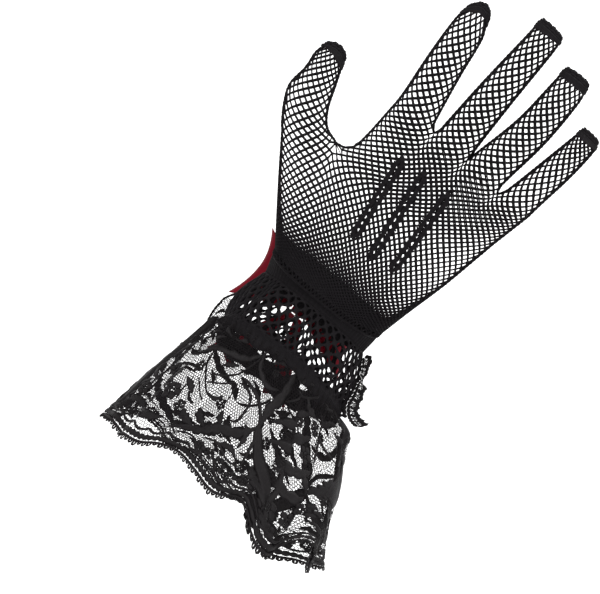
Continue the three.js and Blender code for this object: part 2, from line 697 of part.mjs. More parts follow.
function bowTail(direction) {
  const steps = 6;
  const grid = [];
  for (let i = 0; i <= steps; i += 1) {
    const s = i / steps;
    const half = THREE.MathUtils.lerp(3.2, ribbonHalfWidth, s);
    const notch = i === steps ? 5 : 0;
    grid.push(
      [-1, 0, 1].map((share) => {
        const x = bowCentre.x + direction * (3.9 + 14 * s) + share * half;
        const y = bowCentre.y + 2.2 + 4.0 * Math.min(1, s * 8) - 3 * s;
        const z = bowCentre.z - 6.2 - 40 * s + (share === 0 ? notch : 0);
        return new THREE.Vector3(x, y, z);
      }),
    );
  }
  const faces = [];
  for (let r = 0; r < steps; r += 1) {
    for (let i = 0; i < 2; i += 1) faces.push([grid[r][i], grid[r][i + 1], grid[r + 1][i + 1], grid[r + 1][i]]);
  }
  return sheetSolid(faces, ribbonWall);
}

function bowKnot() {
  const rings = [];
  const levels = 6;
  for (let i = 0; i <= levels; i += 1) {
    const s = i / levels;
    const swell = 0.72 + 0.28 * Math.sin(Math.PI * s);
    rings.push(
      Array.from({ length: 10 }, (_, k) => {
        const angle = (k / 10) * Math.PI * 2;
        const x = bowCentre.x + 3.6 * swell * Math.cos(angle);
        const y = bowCentre.y + 3.4 * swell * Math.sin(angle);
        return new THREE.Vector3(x, y, bowCentre.z - 5.8 + 11.6 * s);
      }),
    );
  }
  return solidFromRings(rings);
}

addNode("palm_net", sheetSolid(palmFaces(), netWall), black);
for (const name of Object.keys(digits)) {
  addNode(name + "_net", sheetSolid(digitFaces(name), netWall), black);
  addNode(name + "_tip_seam", tipSeam(name), black);
}
for (const point of backPoints) addNode(point.name, backPoint(point), black);

const bandRibs = 26;
addNode("wrist_band", sleeveTube(0, 0.98, 2, bandRibs * 2, bandWall, (s, turn) => 0.5 * ripple(turn, bandRibs)), black);
addNode("net_frill", frillSolid(), black);
addNode(
  "gather_band",
  sleeveTube(2.97, 3.78, 3, 54, bandWall, (s, turn) => 1.2 * Math.sin(Math.PI * s) + 0.6 * ripple(turn, 27) * s),
  laceBlack,
);
addNode("lace_cuff", sleeveTube(3.82, 6, cuffRows, cuffColumns, laceWall, cuffOut, cuffDrop), laceBlack);
addNode("side_trim", trimSolid(sideTrim, laceWall), laceBlack);
addNode("thumb_side_flap", trimSolid(thumbFlap, laceWall), laceBlack);
addNode("bow_knot", bowKnot(), satinRed);
addNode("bow_loop_thumb_side", bowLoop(-1), satinRed);
addNode("bow_loop_outer_side", bowLoop(1), satinRed);
addNode("bow_tail_thumb_side", bowTail(-1), satinRed);
addNode("bow_tail_outer_side", bowTail(1), satinRed);

export default glove;
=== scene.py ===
import math
import random

import bmesh
import bpy
from mathutils import Matrix, Vector


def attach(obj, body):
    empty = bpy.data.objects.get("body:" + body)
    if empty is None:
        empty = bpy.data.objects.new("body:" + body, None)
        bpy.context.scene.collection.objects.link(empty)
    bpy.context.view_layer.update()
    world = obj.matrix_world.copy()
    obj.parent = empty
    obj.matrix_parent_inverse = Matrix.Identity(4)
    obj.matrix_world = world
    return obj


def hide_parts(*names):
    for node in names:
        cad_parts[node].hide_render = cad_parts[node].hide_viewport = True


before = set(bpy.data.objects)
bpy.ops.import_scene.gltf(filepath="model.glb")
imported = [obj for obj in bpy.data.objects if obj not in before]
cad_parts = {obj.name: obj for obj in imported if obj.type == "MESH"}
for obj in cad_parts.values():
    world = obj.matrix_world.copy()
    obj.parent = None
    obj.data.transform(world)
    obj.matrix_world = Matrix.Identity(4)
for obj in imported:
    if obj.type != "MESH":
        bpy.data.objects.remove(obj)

bl_info = {
    "name": "Lace Glove",
    "version": (1, 0, 0),
    "blender": (4, 5, 0),
    "location": "View3D > Sidebar > Glove",
    "description": "Fishnet dress glove with a frill of coarse net, a floral lace cuff and a satin bow",
    "category": "Object",
}

MM = 0.001
HAND_TILT = math.radians(14)
FINGERS = ("index", "middle", "ring", "little")
DIGITS = ("thumb",) + FINGERS
THUMB_COLUMNS = 7
FINGER_COLUMNS = 6


def table(names, *values):
    return [dict(zip(names.split(), row)) for row in values]


LOWER_PALM = table(
    "t left_x left_y left_z split_x split_y split_z right_x right_z back front",
    (0.0, -33.5, 0, 10.4, -19, 0, 10.4, 31.0, 10.4, 19.5, 19.5),
    (0.3, -42.0, 2, 21.0, -25, 1, 25.5, 34.6, 25.5, 15.8, 17.5),
    (0.65, -55.5, 6, 38.2, -34, 2, 47.0, 40.1, 47.0, 13.0, 16.0),
    (1.0, -68.0, 10, 54.8, -43.5, 4, 67.0, 44.2, 68.0, 12.6, 13.6),
)
UPPER_PALM = table(
    "t left_x left_y left_z right_x right_z back front",
    (0.0, -43.5, 4, 67.0, 44.2, 68.0, 12.6, 13.6),
    (0.12, -38.4, 3, 68.3, 45.0, 72.0, 12.6, 13.4),
    (0.25, -34.9, 2, 72.8, 45.7, 76.0, 12.6, 13.0),
    (1.0, -32.9, 0, 100.5, 50.6, 98.0, 11.0, 10.5),
)
# Webs between the fingers: share of the palm's width, height
WEBS = ((0.279, 101.0), (0.527, 100.8), (0.781, 97.4))
DIGIT_COLUMNS = "t left_x left_z right_x right_z y depth"
STATIONS = {
    "thumb": table(
        DIGIT_COLUMNS,
        (0.0, -68.0, 54.8, -43.5, 66.6, 7, 12.0),
        (0.2, -75.0, 64.4, -51.5, 68.6, 11, 11.2),
        (0.4, -78.9, 73.2, -57.0, 75.2, 14, 10.0),
        (0.6, -77.9, 83.4, -61.0, 85.0, 17, 8.8),
        (0.82, -78.8, 91.4, -63.6, 91.4, 19, 7.2),
        (1.0, -77.6, 96.2, -65.4, 95.8, 20, 3.0),
    ),
    "index": table(
        DIGIT_COLUMNS,
        (0.0, -32.9, 100.5, -9.6, 101.0, 0, 9.6),
        (0.03, -32.9, 102.4, -11.7, 102.2, 0, 9.5),
        (0.12, -33.1, 107.5, -13.2, 107.5, 0, 9.2),
        (0.5, -35.2, 130.0, -17.3, 130.0, 1, 8.2),
        (0.86, -36.0, 149.0, -20.2, 149.0, 4, 7.0),
        (1.0, -35.0, 154.8, -23.2, 155.6, 5, 3.0),
    ),
    "middle": table(
        DIGIT_COLUMNS,
        (0.0, -9.6, 101.0, 11.1, 100.8, 0, 9.6),
        (0.03, -8.3, 102.8, 11.1, 103.2, 0, 9.5),
        (0.1, -8.0, 108.0, 10.6, 108.0, 0, 9.2),
        (0.5, -6.6, 135.0, 10.1, 135.0, 1, 8.2),
        (0.88, -4.2, 165.0, 10.1, 165.0, 4, 6.8),
        (1.0, -3.8, 172.0, 9.6, 170.8, 5, 3.0),
    ),
    "ring": table(
        DIGIT_COLUMNS,
        (0.0, 11.1, 100.8, 32.3, 97.4, 0, 9.2),
        (0.03, 11.5, 102.6, 31.2, 99.4, 0, 9.1),
        (0.11, 12.5, 107.0, 31.6, 105.5, 0, 8.8),
        (0.5, 17.7, 131.0, 34.6, 130.0, 1, 7.8),
        (0.87, 19.6, 154.0, 34.9, 154.0, 4, 6.6),
        (1.0, 20.0, 161.4, 33.6, 161.6, 5, 3.0),
    ),
    "little": table(
        DIGIT_COLUMNS,
        (0.0, 32.3, 97.4, 50.6, 98.0, 0, 8.2),
        (0.04, 34.2, 99.2, 50.8, 100.0, 0, 8.1),
        (0.14, 36.0, 105.5, 51.4, 105.0, 0, 7.8),
        (0.5, 40.5, 126.0, 54.2, 125.0, 1, 6.8),
        (0.84, 43.8, 141.0, 55.2, 140.6, 3, 5.8),
        (1.0, 44.6, 144.4, 54.4, 143.6, 4, 3.0),
    ),
}
# How far the middle of each digit's end stands above its corners
ROUND_ENDS = {"thumb": 3.0, "index": 5.4, "middle": 0.6, "ring": 0.8, "little": 0.4}
# Where the dense tip of each digit starts, and how much that slants
TIPS = {
    "thumb": (0.92, -0.05),
    "index": (0.95, 0.025),
    "middle": (0.955, 0.012),
    "ring": (0.95, 0.0),
    "little": (0.885, 0.0),
}
# Yarns that lie along the end of each tip: height, thickness, depth towards the back
TIP_RIDGES = ((0.9, 1.15, 1.1), (-0.5, 1.0, 2.1), (1.5, 0.85, 0))
SMOOTH_PASSES = 24
NET_ROWS = {"lower": 22, "upper": 11, "thumb": 12, "index": 14, "middle": 17, "ring": 16, "little": 12}
WELD = 0.15
# How much thicker the net's yarn looks at the wrist, where it is stretched least
WRIST_THICKENING = 0.34
SLEEVE = table(
    "t x y z half_x half_y lean",
    (0, -1.2, -2.4, 9.4, 32.3, 19.0, 14),
    (1, 0.0, -0.4, -3.0, 30.6, 19.4, -7),
    (2, 0.3, -2.5, -17.0, 34.0, 23.0, -12),
    (3, 0.5, -5.5, -31.5, 36.5, 26.0, -14),
    (4, 1.8, -7.5, -38.5, 38.0, 27.5, -15),
    (5, 8.0, -14.0, -73.0, 50.5, 37.0, -15),
    (6, 10.8, -20.0, -103.0, 56.8, 42.0, -15),
)
BACK_POINTS = table(
    "foot_x foot_z top_x top_z",
    (-8.4, 38.5, -13.4, 80.0),
    (4.6, 36.0, -0.8, 81.0),
    (16.3, 37.5, 14.3, 80.5),
)
EYELETS = 7
FRILL_COLUMNS = 42
FRILL_ROWS = 4
CUFF_TOP = 3.72
CUFF_FOLDS = 9
CUFF_ROUND = 290
CUFF_DEEP = 66
CUFF_MESHES = (240, 58)
FLAP_MESHES = (12, 8)
BORDER_TOP = 59.5
LACE_REPEATS = 3
FAR_SIDE_LIFT = 12
# How far each place round the hem hangs below an even hem
HEM = table(
    "t drop",
    (0, 1.5), (0.05, 4), (0.095, 8.5), (0.135, 9), (0.185, 1), (0.23, 5), (0.265, 7), (0.305, 0),
    (0.335, 9), (0.37, 12), (0.4, 8), (0.437, -10), (0.475, -1), (0.51, -4), (0.55, -9), (0.59, -3),
    (0.62, 5), (0.68, -6), (0.73, -3), (0.78, -9), (0.83, -5), (0.88, -9), (0.94, -3), (1, 1.5),
)
BOW = Vector((-6, 25.8, -3))
# Thickness of the close cloths
TIP_CLOTH = 0.5
BAND_CLOTH = 1.1
GATHERED_CLOTH = 1.0
RIBBON = 0.5
# Folds of the cuff that lie over themselves
PLEATS = table(
    "turn width",
    (0.325, 0.016),
    (0.395, 0.019),
    (0.462, 0.016),
)
# Rolled edges of the cuff: half width, and the middle line round and down the flat cuff
EDGE_ROLLS = table(
    "half line",
    (2.4, ((6, 1), (7.5, 16), (7, 33), (8, 50), (6, 58))),
    (3.8, ((147, -3), (148, 8), (147, 18), (143, 27), (138, 34), (135, 40))),
    (3.2, ((137, 0), (138, 10), (136, 20), (132, 29), (127, 38))),
)
# Strips that stand away from the sleeve: inner edge on the sleeve, outer edge away from it
TRIM_COLUMNS = "t turn out away_x away_y away_z"
SIDE_TRIM = table(
    TRIM_COLUMNS,
    (1.1, 0.49, 1.4, 2.2, -1.5, 2.6),
    (1.35, 0.475, 3.0, 2.6, -2.6, 1.0),
    (1.7, 0.49, 4.6, 1.4, -3.2, -1.0),
    (2.0, 0.47, 4.8, 3.0, -2.0, 1.0),
    (2.35, 0.485, 5.0, 3.4, -2.6, 0.5),
    (2.7, 0.48, 5.2, 4.2, -2.0, 0.6),
    (3.15, 0.48, 9.2, 4.2, -1.0, 3.0),
    (3.6, 0.48, 14.5, 3.2, 0.0, 3.6),
)
THUMB_FLAP = table(
    TRIM_COLUMNS,
    (2.2, 0.97, -1.0, -5.3, 1.0, -2.6),
    (2.5, 0.965, -1.4, -5.9, 1.8, -4.6),
    (2.8, 0.96, -1.8, -4.6, 2.4, -7.8),
    (3.1, 0.96, -1.4, -0.8, 1.8, -4.8),
)
# Leaves, stems and bands of one repeat of the lace: half width, teeth along it, share that tapers, and
# the middle line in millimetres round and down the flat cuff
LACE_SHAPES = table(
    "half teeth taper line",
    (1.7, 0, 0.5, ((34, 20.5), (39, 19.5), (46, 18.6), (54, 17.2), (60, 13.5), (64.5, 6.6))),
    (2.0, 4, 0.5, ((32, 24), (36, 20), (41, 18.5))),
    (0.8, 0, 0.3, ((57, 23.5), (65, 24.4), (72.5, 27), (76.5, 31), (79, 37), (79.4, 44), (80, 54))),
    (1.5, 5, 0.4, ((63, 8), (64.5, 16), (69.6, 19.8), (75, 20.5), (80, 18.6))),
    (0.4, 0, 0.2, ((45, 33), (52, 30), (58, 26.5))),
    (0.5, 0, 0.2, ((44, 29.7), (50.8, 27), (57.3, 22.4), (62, 14), (64.5, 6))),
    (0.35, 0, 0.2, ((59.4, 27), (59.6, 34), (58.7, 42))),
    (0.75, 9, 0.2, ((59.4, 26), (65, 26.4), (69, 28.8), (69.2, 34), (68, 39), (64.5, 40.4))),
    (2.8, 9, 0.4, ((79, 33), (72, 41.4), (64, 46), (57.5, 51.4), (51.5, 54.2), (45, 57.5))),
    (2.3, 4, 0.5, ((58, 50), (53.5, 47), (51, 42.5))),
    (2.2, 4, 0.5, ((54, 53), (49, 50.6), (45.5, 46.5))),
    (1.9, 3, 0.5, ((64, 45), (61.5, 41.6), (61, 38))),
    (3.1, 6, 0.35, ((77.5, 36), (79, 27), (82.5, 19.5), (84.4, 12), (86, 2))),
    (2.4, 0, 0.15, ((77, 33), (82, 41), (88.6, 51), (94.2, 59.4), (97, 64))),
    (1.9, 5, 0.4, ((82, 30), (88, 26.5), (95, 22), (105, 15.8))),
    (2.2, 6, 0.4, ((84, 37), (90, 33), (98, 29.4), (107, 23))),
    (0.4, 0, 0.2, ((85, 21), (91, 15.5), (96.4, 7.3))),
    (0.6, 0, 0.2, ((88, 13), (95, 14), (103, 9.5), (108, 4))),
    (2.3, 6, 0.4, ((88, 44), (95, 39.5), (103, 37.5), (110, 32))),
    (2.4, 5, 0.4, ((93, 52), (99, 46.5), (106, 45), (113, 41))),
    (1.6, 4, 0.5, ((66, 52), (72, 48.5), (77, 50.5))),
    (0.5, 0, 0.2, ((80, 52), (74, 53), (67, 51), (60, 54))),
    (0.6, 0, 0.2, ((14, 12), (20, 19), (27, 23), (32, 24))),
    (1.6, 4, 0.5, ((20, 19), (24.5, 14), (30, 11.5))),
    (1.5, 3, 0.5, ((20, 20), (15, 24), (13, 30))),
    (1.4, 3, 0.5, ((42, 12), (48, 10.5), (54, 5))),
    (1.6, 4, 0.5, ((40, 12), (34, 9.5), (30, 4))),
    (2.0, 5, 0.4, ((27, 53), (34, 55.5), (41, 53.5))),
    (1.8, 4, 0.5, ((19, 41), (13, 38), (9, 33))),
    (2.2, 5, 0.4, ((24, 41), (29, 36), (31, 29))),
    (1.7, 4, 0.5, ((45, 40), (41, 36.5), (36, 34))),
    (2.0, 5, 0.4, ((13, 55), (18, 52), (25, 53))),
    (1.3, 4, 0.5, ((46, 25), (50, 22.5), (55, 20.5))),
    (1.2, 3, 0.5, ((49, 36), (53.5, 36.5), (57, 33))),
    (1.5, 4, 0.5, ((70, 12), (73, 8), (79, 7))),
    (1.6, 5, 0.5, ((66, 4), (72, 3), (77, 5.5))),
    (2.0, 5, 0.4, ((90, 9), (94, 5), (100, 2.5))),
    (1.8, 4, 0.5, ((97, 12), (102, 16), (108, 16.5))),
    (0.5, 0, 0.2, ((48, 58.5), (54, 56), (59, 57), (64, 60.5))),
    (1.5, 4, 0.5, ((72, 36), (75, 41), (74.5, 47))),
    (2.2, 6, 0.4, ((84, 49), (87, 54.5), (93, 56.5))),
    (1.8, 4, 0.5, ((96, 61), (101, 59), (107, 61))),
    (0.9, 0, 0.3, ((97, 34), (100, 41), (101, 50), (97, 58))),
    (1.2, 3, 0.5, ((28, 15), (33, 15.5), (37, 13))),
    (1.4, 3, 0.5, ((46, 5.5), (52, 2.5), (58, 2.2))),
    (1.3, 3, 0.5, ((16, 6), (21, 8), (27, 5.5))),
)
LACE_FLOWERS = table(
    "x y radius petals",
    (35.5, 42.0, 4.6, 6),
    (27.0, 47.6, 3.8, 5),
    (43.4, 46.0, 3.0, 5),
    (37.5, 28.5, 2.9, 5),
    (22.0, 33.0, 3.4, 6),
    (15.5, 46.5, 3.8, 6),
    (11.0, 20.0, 2.8, 5),
    (62.0, 57.6, 3.2, 6),
    (67.0, 56.4, 2.6, 5),
    (72.4, 56.6, 3.2, 6),
    (78.8, 58.0, 3.0, 5),
    (85.0, 57.0, 3.4, 6),
    (91.6, 57.8, 2.6, 5),
    (101.0, 54.6, 4.0, 6),
    (108.6, 52.6, 3.4, 5),
    (105.0, 59.4, 2.4, 5),
    (48.6, 50.4, 2.4, 5),
    (30.0, 39.6, 2.6, 5),
    (31.6, 56.0, 2.6, 5),
    (20.4, 57.4, 2.6, 5),
    (98.4, 22.6, 2.6, 6),
    (105.4, 29.6, 2.8, 5),
    (92.0, 27.0, 1.9, 5),
    (73.6, 14.4, 2.0, 5),
)
# The backdrop in millimetres: height of its floor, its reach before and behind the glove, radius of its
# bend, length from the front edge to the top, and width
FLOOR = -1300
FLOOR_BEFORE = 3200
FLOOR_BEHIND = 2100
BEND = 900
BACKDROP_LENGTH = 9500
BACKDROP_WIDTH = 10000
# Lights and camera in metres and watts
LIGHTS = table(
    "name place size power",
    ("key", (-1.2, -1.6, 1.6), 1.6, 52),
    ("fill", (1.6, -1.4, 0.3), 1.8, 22),
    ("back light", (0.2, 0.6, 2.2), 1.6, 34),
)
CAMERA_DISTANCE = 2.4
CAMERA_ROLL = math.radians(39)
CAMERA_AIM = Vector((-0.0101, 0, -0.0007))
VIEW_WIDTH = 0.291
FILM_WIDTH = 36


# Surfaces of the glove in millimetres

def smooth_step(low, high, value):
    s = min(max((value - low) / (high - low), 0), 1)
    return s * s * (3 - 2 * s)


def eased(a, b, slope_a, slope_b, s):
    """Value at share s between a and b, which are passed at the given slopes."""
    return (
        a * (2 * s**3 - 3 * s**2 + 1)
        + slope_a * (s**3 - 2 * s**2 + s)
        + b * (3 * s**2 - 2 * s**3)
        + slope_b * (s**3 - s**2)
    )


def value_at(rows, name, t):
    i = 0
    while i < len(rows) - 2 and t > rows[i + 1]["t"]:
        i += 1
    a, b = rows[i], rows[i + 1]
    before, after = rows[max(i - 1, 0)], rows[min(i + 2, len(rows) - 1)]
    span = b["t"] - a["t"]
    s = (t - a["t"]) / span
    slope_a = (b[name] - before[name]) / (b["t"] - before["t"]) * span
    slope_b = (after[name] - a[name]) / (after["t"] - a["t"]) * span
    return eased(a[name], b[name], slope_a, slope_b, s)


def blunt_oval(across):
    return math.sqrt(max(0, 1 - abs(across) ** 2.6))


def round_oval(across):
    return math.sqrt(max(0, 1 - across**2))


def bent_back(p):
    y = p.y * math.cos(HAND_TILT) - p.z * math.tan(HAND_TILT)
    return Vector((p.x, y, p.z + p.y * math.sin(HAND_TILT)))


def equal_steps(dense, steps):
    run = [0]
    for a, b in zip(dense, dense[1:]):
        run.append(run[-1] + (b - a).length)
    points = []
    k = 0
    for i in range(steps + 1):
        target = run[-1] * i / steps
        while k < len(run) - 2 and run[k + 1] < target:
            k += 1
        s = (target - run[k]) / max(run[k + 1] - run[k], 1e-9)
        points.append(dense[k].lerp(dense[k + 1], min(s, 1)))
    return points


def sheet_row(knots, columns, side, depth_at):
    row = []
    for j, count in enumerate(columns):
        dense = []
        for i in range(25):
            s = 0.5 - 0.5 * math.cos(math.pi * i / 24)
            point = knots[j].lerp(knots[j + 1], s)
            point.y += side * depth_at(j, s, point)
            dense.append(point)
        steps = equal_steps(dense, count)
        row += steps[1:] if j else steps
    return [bent_back(p) for p in row]


def across_of(point, start, end):
    return 2 * (point.x - start.x) / (end.x - start.x) - 1


def lower_palm_row(t, side):
    v = {name: value_at(LOWER_PALM, name, t) for name in LOWER_PALM[0]}
    left = Vector((v["left_x"], v["left_y"], v["left_z"]))
    split = Vector((v["split_x"], v["split_y"], v["split_z"]))
    right = Vector((v["right_x"], 0, v["right_z"]))
    depth = v["back"] if side < 0 else v["front"]
    pinch = smooth_step(0.8, 1, t)
    knots = [left, split] + [split.lerp(right, share) for share, _ in WEBS] + [right]

    def depth_at(j, s, point):
        whole = depth * blunt_oval(across_of(point, left, right))
        if j == 0:
            own = STATIONS["thumb"][0]["depth"] * round_oval(2 * s - 1)
        else:
            own = depth * blunt_oval(across_of(point, split, right))
        return (1 - pinch) * whole + pinch * own

    return sheet_row(knots, [2 * THUMB_COLUMNS] + [2 * FINGER_COLUMNS] * 4, side, depth_at)


def upper_palm_row(t, side):
    v = {name: value_at(UPPER_PALM, name, t) for name in UPPER_PALM[0]}
    left = Vector((v["left_x"], v["left_y"], v["left_z"]))
    right = Vector((v["right_x"], 0, v["right_z"]))
    depth = v["back"] if side < 0 else v["front"]
    pinch = smooth_step(0.7, 1, t)
    knots = [left]
    top = UPPER_PALM[-1]
    for share, height in WEBS:
        knot = left.lerp(right, share)
        level = top["left_z"] + (top["right_z"] - top["left_z"]) * share
        knot.z += (height - level) * t * t
        knots.append(knot)
    knots.append(right)

    def depth_at(j, s, point):
        whole = depth * blunt_oval(across_of(point, left, right))
        own = STATIONS[FINGERS[j]][0]["depth"] * round_oval(2 * s - 1)
        return (1 - pinch) * whole + pinch * own

    return sheet_row(knots, [2 * FINGER_COLUMNS] * 4, side, depth_at)


def digit_ends(name, t):
    v = {key: value_at(STATIONS[name], key, t) for key in STATIONS[name][0]}
    left = Vector((v["left_x"], v["y"], v["left_z"]))
    right = Vector((v["right_x"], v["y"], v["right_z"]))
    return left, right, v["depth"], ROUND_ENDS[name] * smooth_step(0.7, 1, t)


def digit_row(name, t, side):
    left, right, depth, rounding = digit_ends(name, t)
    columns = 2 * (THUMB_COLUMNS if name == "thumb" else FINGER_COLUMNS)
    row = sheet_row([left, right], [columns], side, lambda j, s, p: depth * round_oval(2 * s - 1))
    for i, point in enumerate(row):
        point.z += rounding * (1 - (2 * i / columns - 1) ** 2)
    return row


# Turn 0 is the thumb-side edge, a quarter is the back of the hand, a half is the other edge.
def digit_point(name, t, turn, out=0.0):
    left, right, depth, rounding = digit_ends(name, t)
    angle = 2 * math.pi * turn
    across = -math.cos(angle)
    half = (right - left).length / 2
    middle = left.lerp(right, 0.5)
    point = middle + (right - left).normalized() * across * (half + out)
    point.y -= (depth + out) * math.sin(angle)
    point = bent_back(point)
    point.z += rounding * (1 - across**2)
    return point


def sleeve_point(t, turn, out=0.0, drop=0.0):
    v = {name: value_at(SLEEVE, name, t) for name in SLEEVE[0]}
    angle = turn * 2 * math.pi
    x = v["x"] - (v["half_x"] + out) * math.cos(angle)
    y = v["y"] - (v["half_y"] + out) * math.sin(angle)
    rise = (y - v["y"]) * math.tan(math.radians(v["lean"]))
    return Vector((x, y, v["z"] + rise - drop))


def ripple(turn, count, phase=0.0):
    return math.sin(turn * 2 * math.pi * count + phase)


def bell(value, middle, width):
    return math.exp(-(((value - middle) / width) ** 2))


def drawn_in(turn, share):
    """How far the frill and its band are pulled towards the wrist at the thumb side."""
    from_edge = min(turn % 1, 1 - turn % 1)
    return 4.6 * share * bell(from_edge, 0, 0.075)


def cuff_point(s, turn, out=0.0):
    turn %= 1
    s = max(s, 0)
    shift, lift = 0, 0
    for fold in PLEATS:
        d = (turn - fold["turn"]) / fold["width"]
        lap = d * math.exp(-d * d) * smooth_step(0.08, 0.55, s)
        shift -= 2.5 * fold["width"] * lap
        lift -= 2.2 * lap
    turn += shift
    folds = s * (2.6 * ripple(turn, CUFF_FOLDS, 0.6) + 1.2 * ripple(turn, 2 * CUFF_FOLDS, 1.9))
    flare = 12 * smooth_step(0, 0.14, s) * (1 - 0.35 * s) * bell(turn, 0.51, 0.075)
    lobe = 12 * s**1.6 * bell(turn, 0.57, 0.045)
    gathers = 1.1 * (1 - smooth_step(0, 0.5, s)) * ripple(turn, 46, 2 * ripple(turn, 5))
    far_side = max(0, -math.sin(turn * 2 * math.pi))
    drop = s**3 * value_at(HEM, "drop", turn) - FAR_SIDE_LIFT * s * far_side
    t = CUFF_TOP + (6 - CUFF_TOP) * s
    return sleeve_point(t, turn, folds + flare + lobe + gathers + lift + out, drop)


def cuff_at(x, y, out=0.0):
    """Point of the cuff at x round and y down the flat lace."""
    return cuff_point(y / CUFF_DEEP, x / CUFF_ROUND, out)


def trim_point(rows, along, across, out=0.0):
    t = rows[0]["t"] + (rows[-1]["t"] - rows[0]["t"]) * along
    inner = sleeve_point(t, value_at(rows, "turn", t), value_at(rows, "out", t))
    away = Vector([value_at(rows, f"away_{axis}", t) for axis in "xyz"])
    return inner + away * across - Vector((0, out, 0))


def rows_at(place, count, first=None):
    rows = [place(i / (2 * count)) for i in range(2 * count + 1)]
    if first:
        rows[0] = first
    return rows


def closer_at_wrist(share):
    return 0.45 * share + 0.55 * share**2


def closer_at_fingers(share):
    return share * (1.2 - 0.2 * share)


def hand_lattices(side):
    """Rows of points at half steps of the net, for the palm, the thumb and each finger."""
    lower = rows_at(lambda s: lower_palm_row(closer_at_wrist(s), side), NET_ROWS["lower"])
    web = lower[-1]
    split = 2 * THUMB_COLUMNS
    upper = rows_at(
        lambda s: upper_palm_row(closer_at_fingers(s), side), NET_ROWS["upper"], first=web[split:])
    roots = {"thumb": web[: split + 1]}
    for j, name in enumerate(FINGERS):
        roots[name] = upper[-1][2 * FINGER_COLUMNS * j : 2 * FINGER_COLUMNS * (j + 1) + 1]
    found = {"lower": lower, "upper": upper}
    for name, root in roots.items():
        found[name] = rows_at(lambda t: digit_row(name, t, side), NET_ROWS[name], first=root)
    smooth_columns(found)
    return found


def smooth_columns(lattices):
    """Evens out each column where two tables meet. The outer sides and the digits' sides stay."""
    split = 2 * THUMB_COLUMNS
    last = len(lattices["lower"][0]) - 1
    for i in range(1, last):
        width = split if i < split else 2 * FINGER_COLUMNS
        from_side = i % width if i < split else (i - split) % width
        from_side = min(from_side, width - from_side)
        line = column_above_wrist(lattices, "lower", i)
        if not from_side:
            parts = [lattices["lower"]] if i == split else [lattices["lower"], lattices["upper"]]
            line = line[: sum(len(part) - 1 for part in parts) + 1]
        strength = 0.5 * min(1, 0.4 + 0.2 * from_side)
        for _ in range(SMOOTH_PASSES):
            before = [p.copy() for p in line]
            for k in range(1, len(line) - 1):
                line[k].xyz = before[k].lerp((before[k - 1] + before[k + 1]) / 2, strength)


def column_above_wrist(lattices, name, i):
    """The points of one column of the net from the wrist to the tip, through part name."""
    split = 2 * THUMB_COLUMNS
    if name in FINGERS:
        j = FINGERS.index(name)
        at_root = 2 * FINGER_COLUMNS * j + i
        finger, own = name, i
    else:
        at_root = i if name == "upper" else i - split
        finger = FINGERS[min(max(at_root, 0) // (2 * FINGER_COLUMNS), 3)]
        own = at_root - 2 * FINGER_COLUMNS * FINGERS.index(finger)
    if name == "thumb" or (name == "lower" and i <= split):
        parts = (("lower", i), ("thumb", i))
    else:
        parts = (("lower", at_root + split), ("upper", at_root), (finger, own))
    line = []
    for part, column in parts:
        line += [row[column] for row in lattices[part]][1 if line else 0:]
    return line


def at_height(line, z):
    i = 0
    while i < len(line) - 2 and line[i + 1].z < z:
        i += 1
    a, b = line[i], line[i + 1]
    return a.lerp(b, (z - a.z) / max(b.z - a.z, 1e-3)) if b.z > a.z else a.copy()


def depth_at_x(row, x):
    i = 0
    while i < len(row) - 2 and row[i + 1].x < x:
        i += 1
    a, b = row[i], row[i + 1]
    share = (x - a.x) / (b.x - a.x) if b.x - a.x > 1e-3 else 0.5
    return a.y + (b.y - a.y) * min(max(share, 0), 1)


def both_lattices():
    """The back's lattices, and the palm's with each knot moved to lie straight behind the back's."""
    back, palm = hand_lattices(-1), hand_lattices(1)
    behind = {}
    for name, lattice in back.items():
        lines = [column_above_wrist(palm, name, i) for i in range(len(lattice[0]))]
        behind[name] = []
        for row in lattice:
            level = [at_height(line, p.z) for line, p in zip(lines, row)]
            behind[name].append([Vector((p.x, depth_at_x(level, p.x), p.z)) for p in row])
    return back, behind


# Mesh helpers

def new_object(bm, name, material, smooth=True):
    """Object of a mesh in millimetres."""
    bmesh.ops.scale(bm, verts=bm.verts, vec=(MM, MM, MM))
    mesh = bpy.data.meshes.new(name)
    bm.to_mesh(mesh)
    bm.free()
    made = bpy.data.objects.new(name, mesh)
    bpy.context.scene.collection.objects.link(made)
    mesh.materials.append(material)
    if smooth:
        mesh.shade_smooth()
    return made


def finish_piece(bm, name, material, replaced=(), smooth=True, levels=0):
    piece = new_object(bm, name, material, smooth)
    if levels:
        subdivision = piece.modifiers.new("rounding", "SUBSURF")
        subdivision.levels = levels
        subdivision.render_levels = levels
    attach(piece, "root")
    if replaced:
        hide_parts(*replaced)
    return piece


def grid_on(bm, columns, rows, place, closed=False, uv=None):
    """A grid whose points are placed by place(column share, row share)."""
    made = bmesh.ops.create_grid(bm, x_segments=columns, y_segments=rows, size=1)["verts"]
    layer = bm.loops.layers.uv.verify()
    shares = {v: ((v.co.x + 1) / 2, (v.co.y + 1) / 2) for v in made}
    faces = {f for v in made for f in v.link_faces}
    for face in faces:
        for loop in face.loops:
            u, w = shares[loop.vert]
            loop[layer].uv = uv(u, w) if uv else (u, w)
    for v in made:
        v.co = place(*shares[v])
    if closed:
        bmesh.ops.remove_doubles(bm, verts=made, dist=1e-4)
    return [v for v in made if v.is_valid], [f for f in faces if f.is_valid]


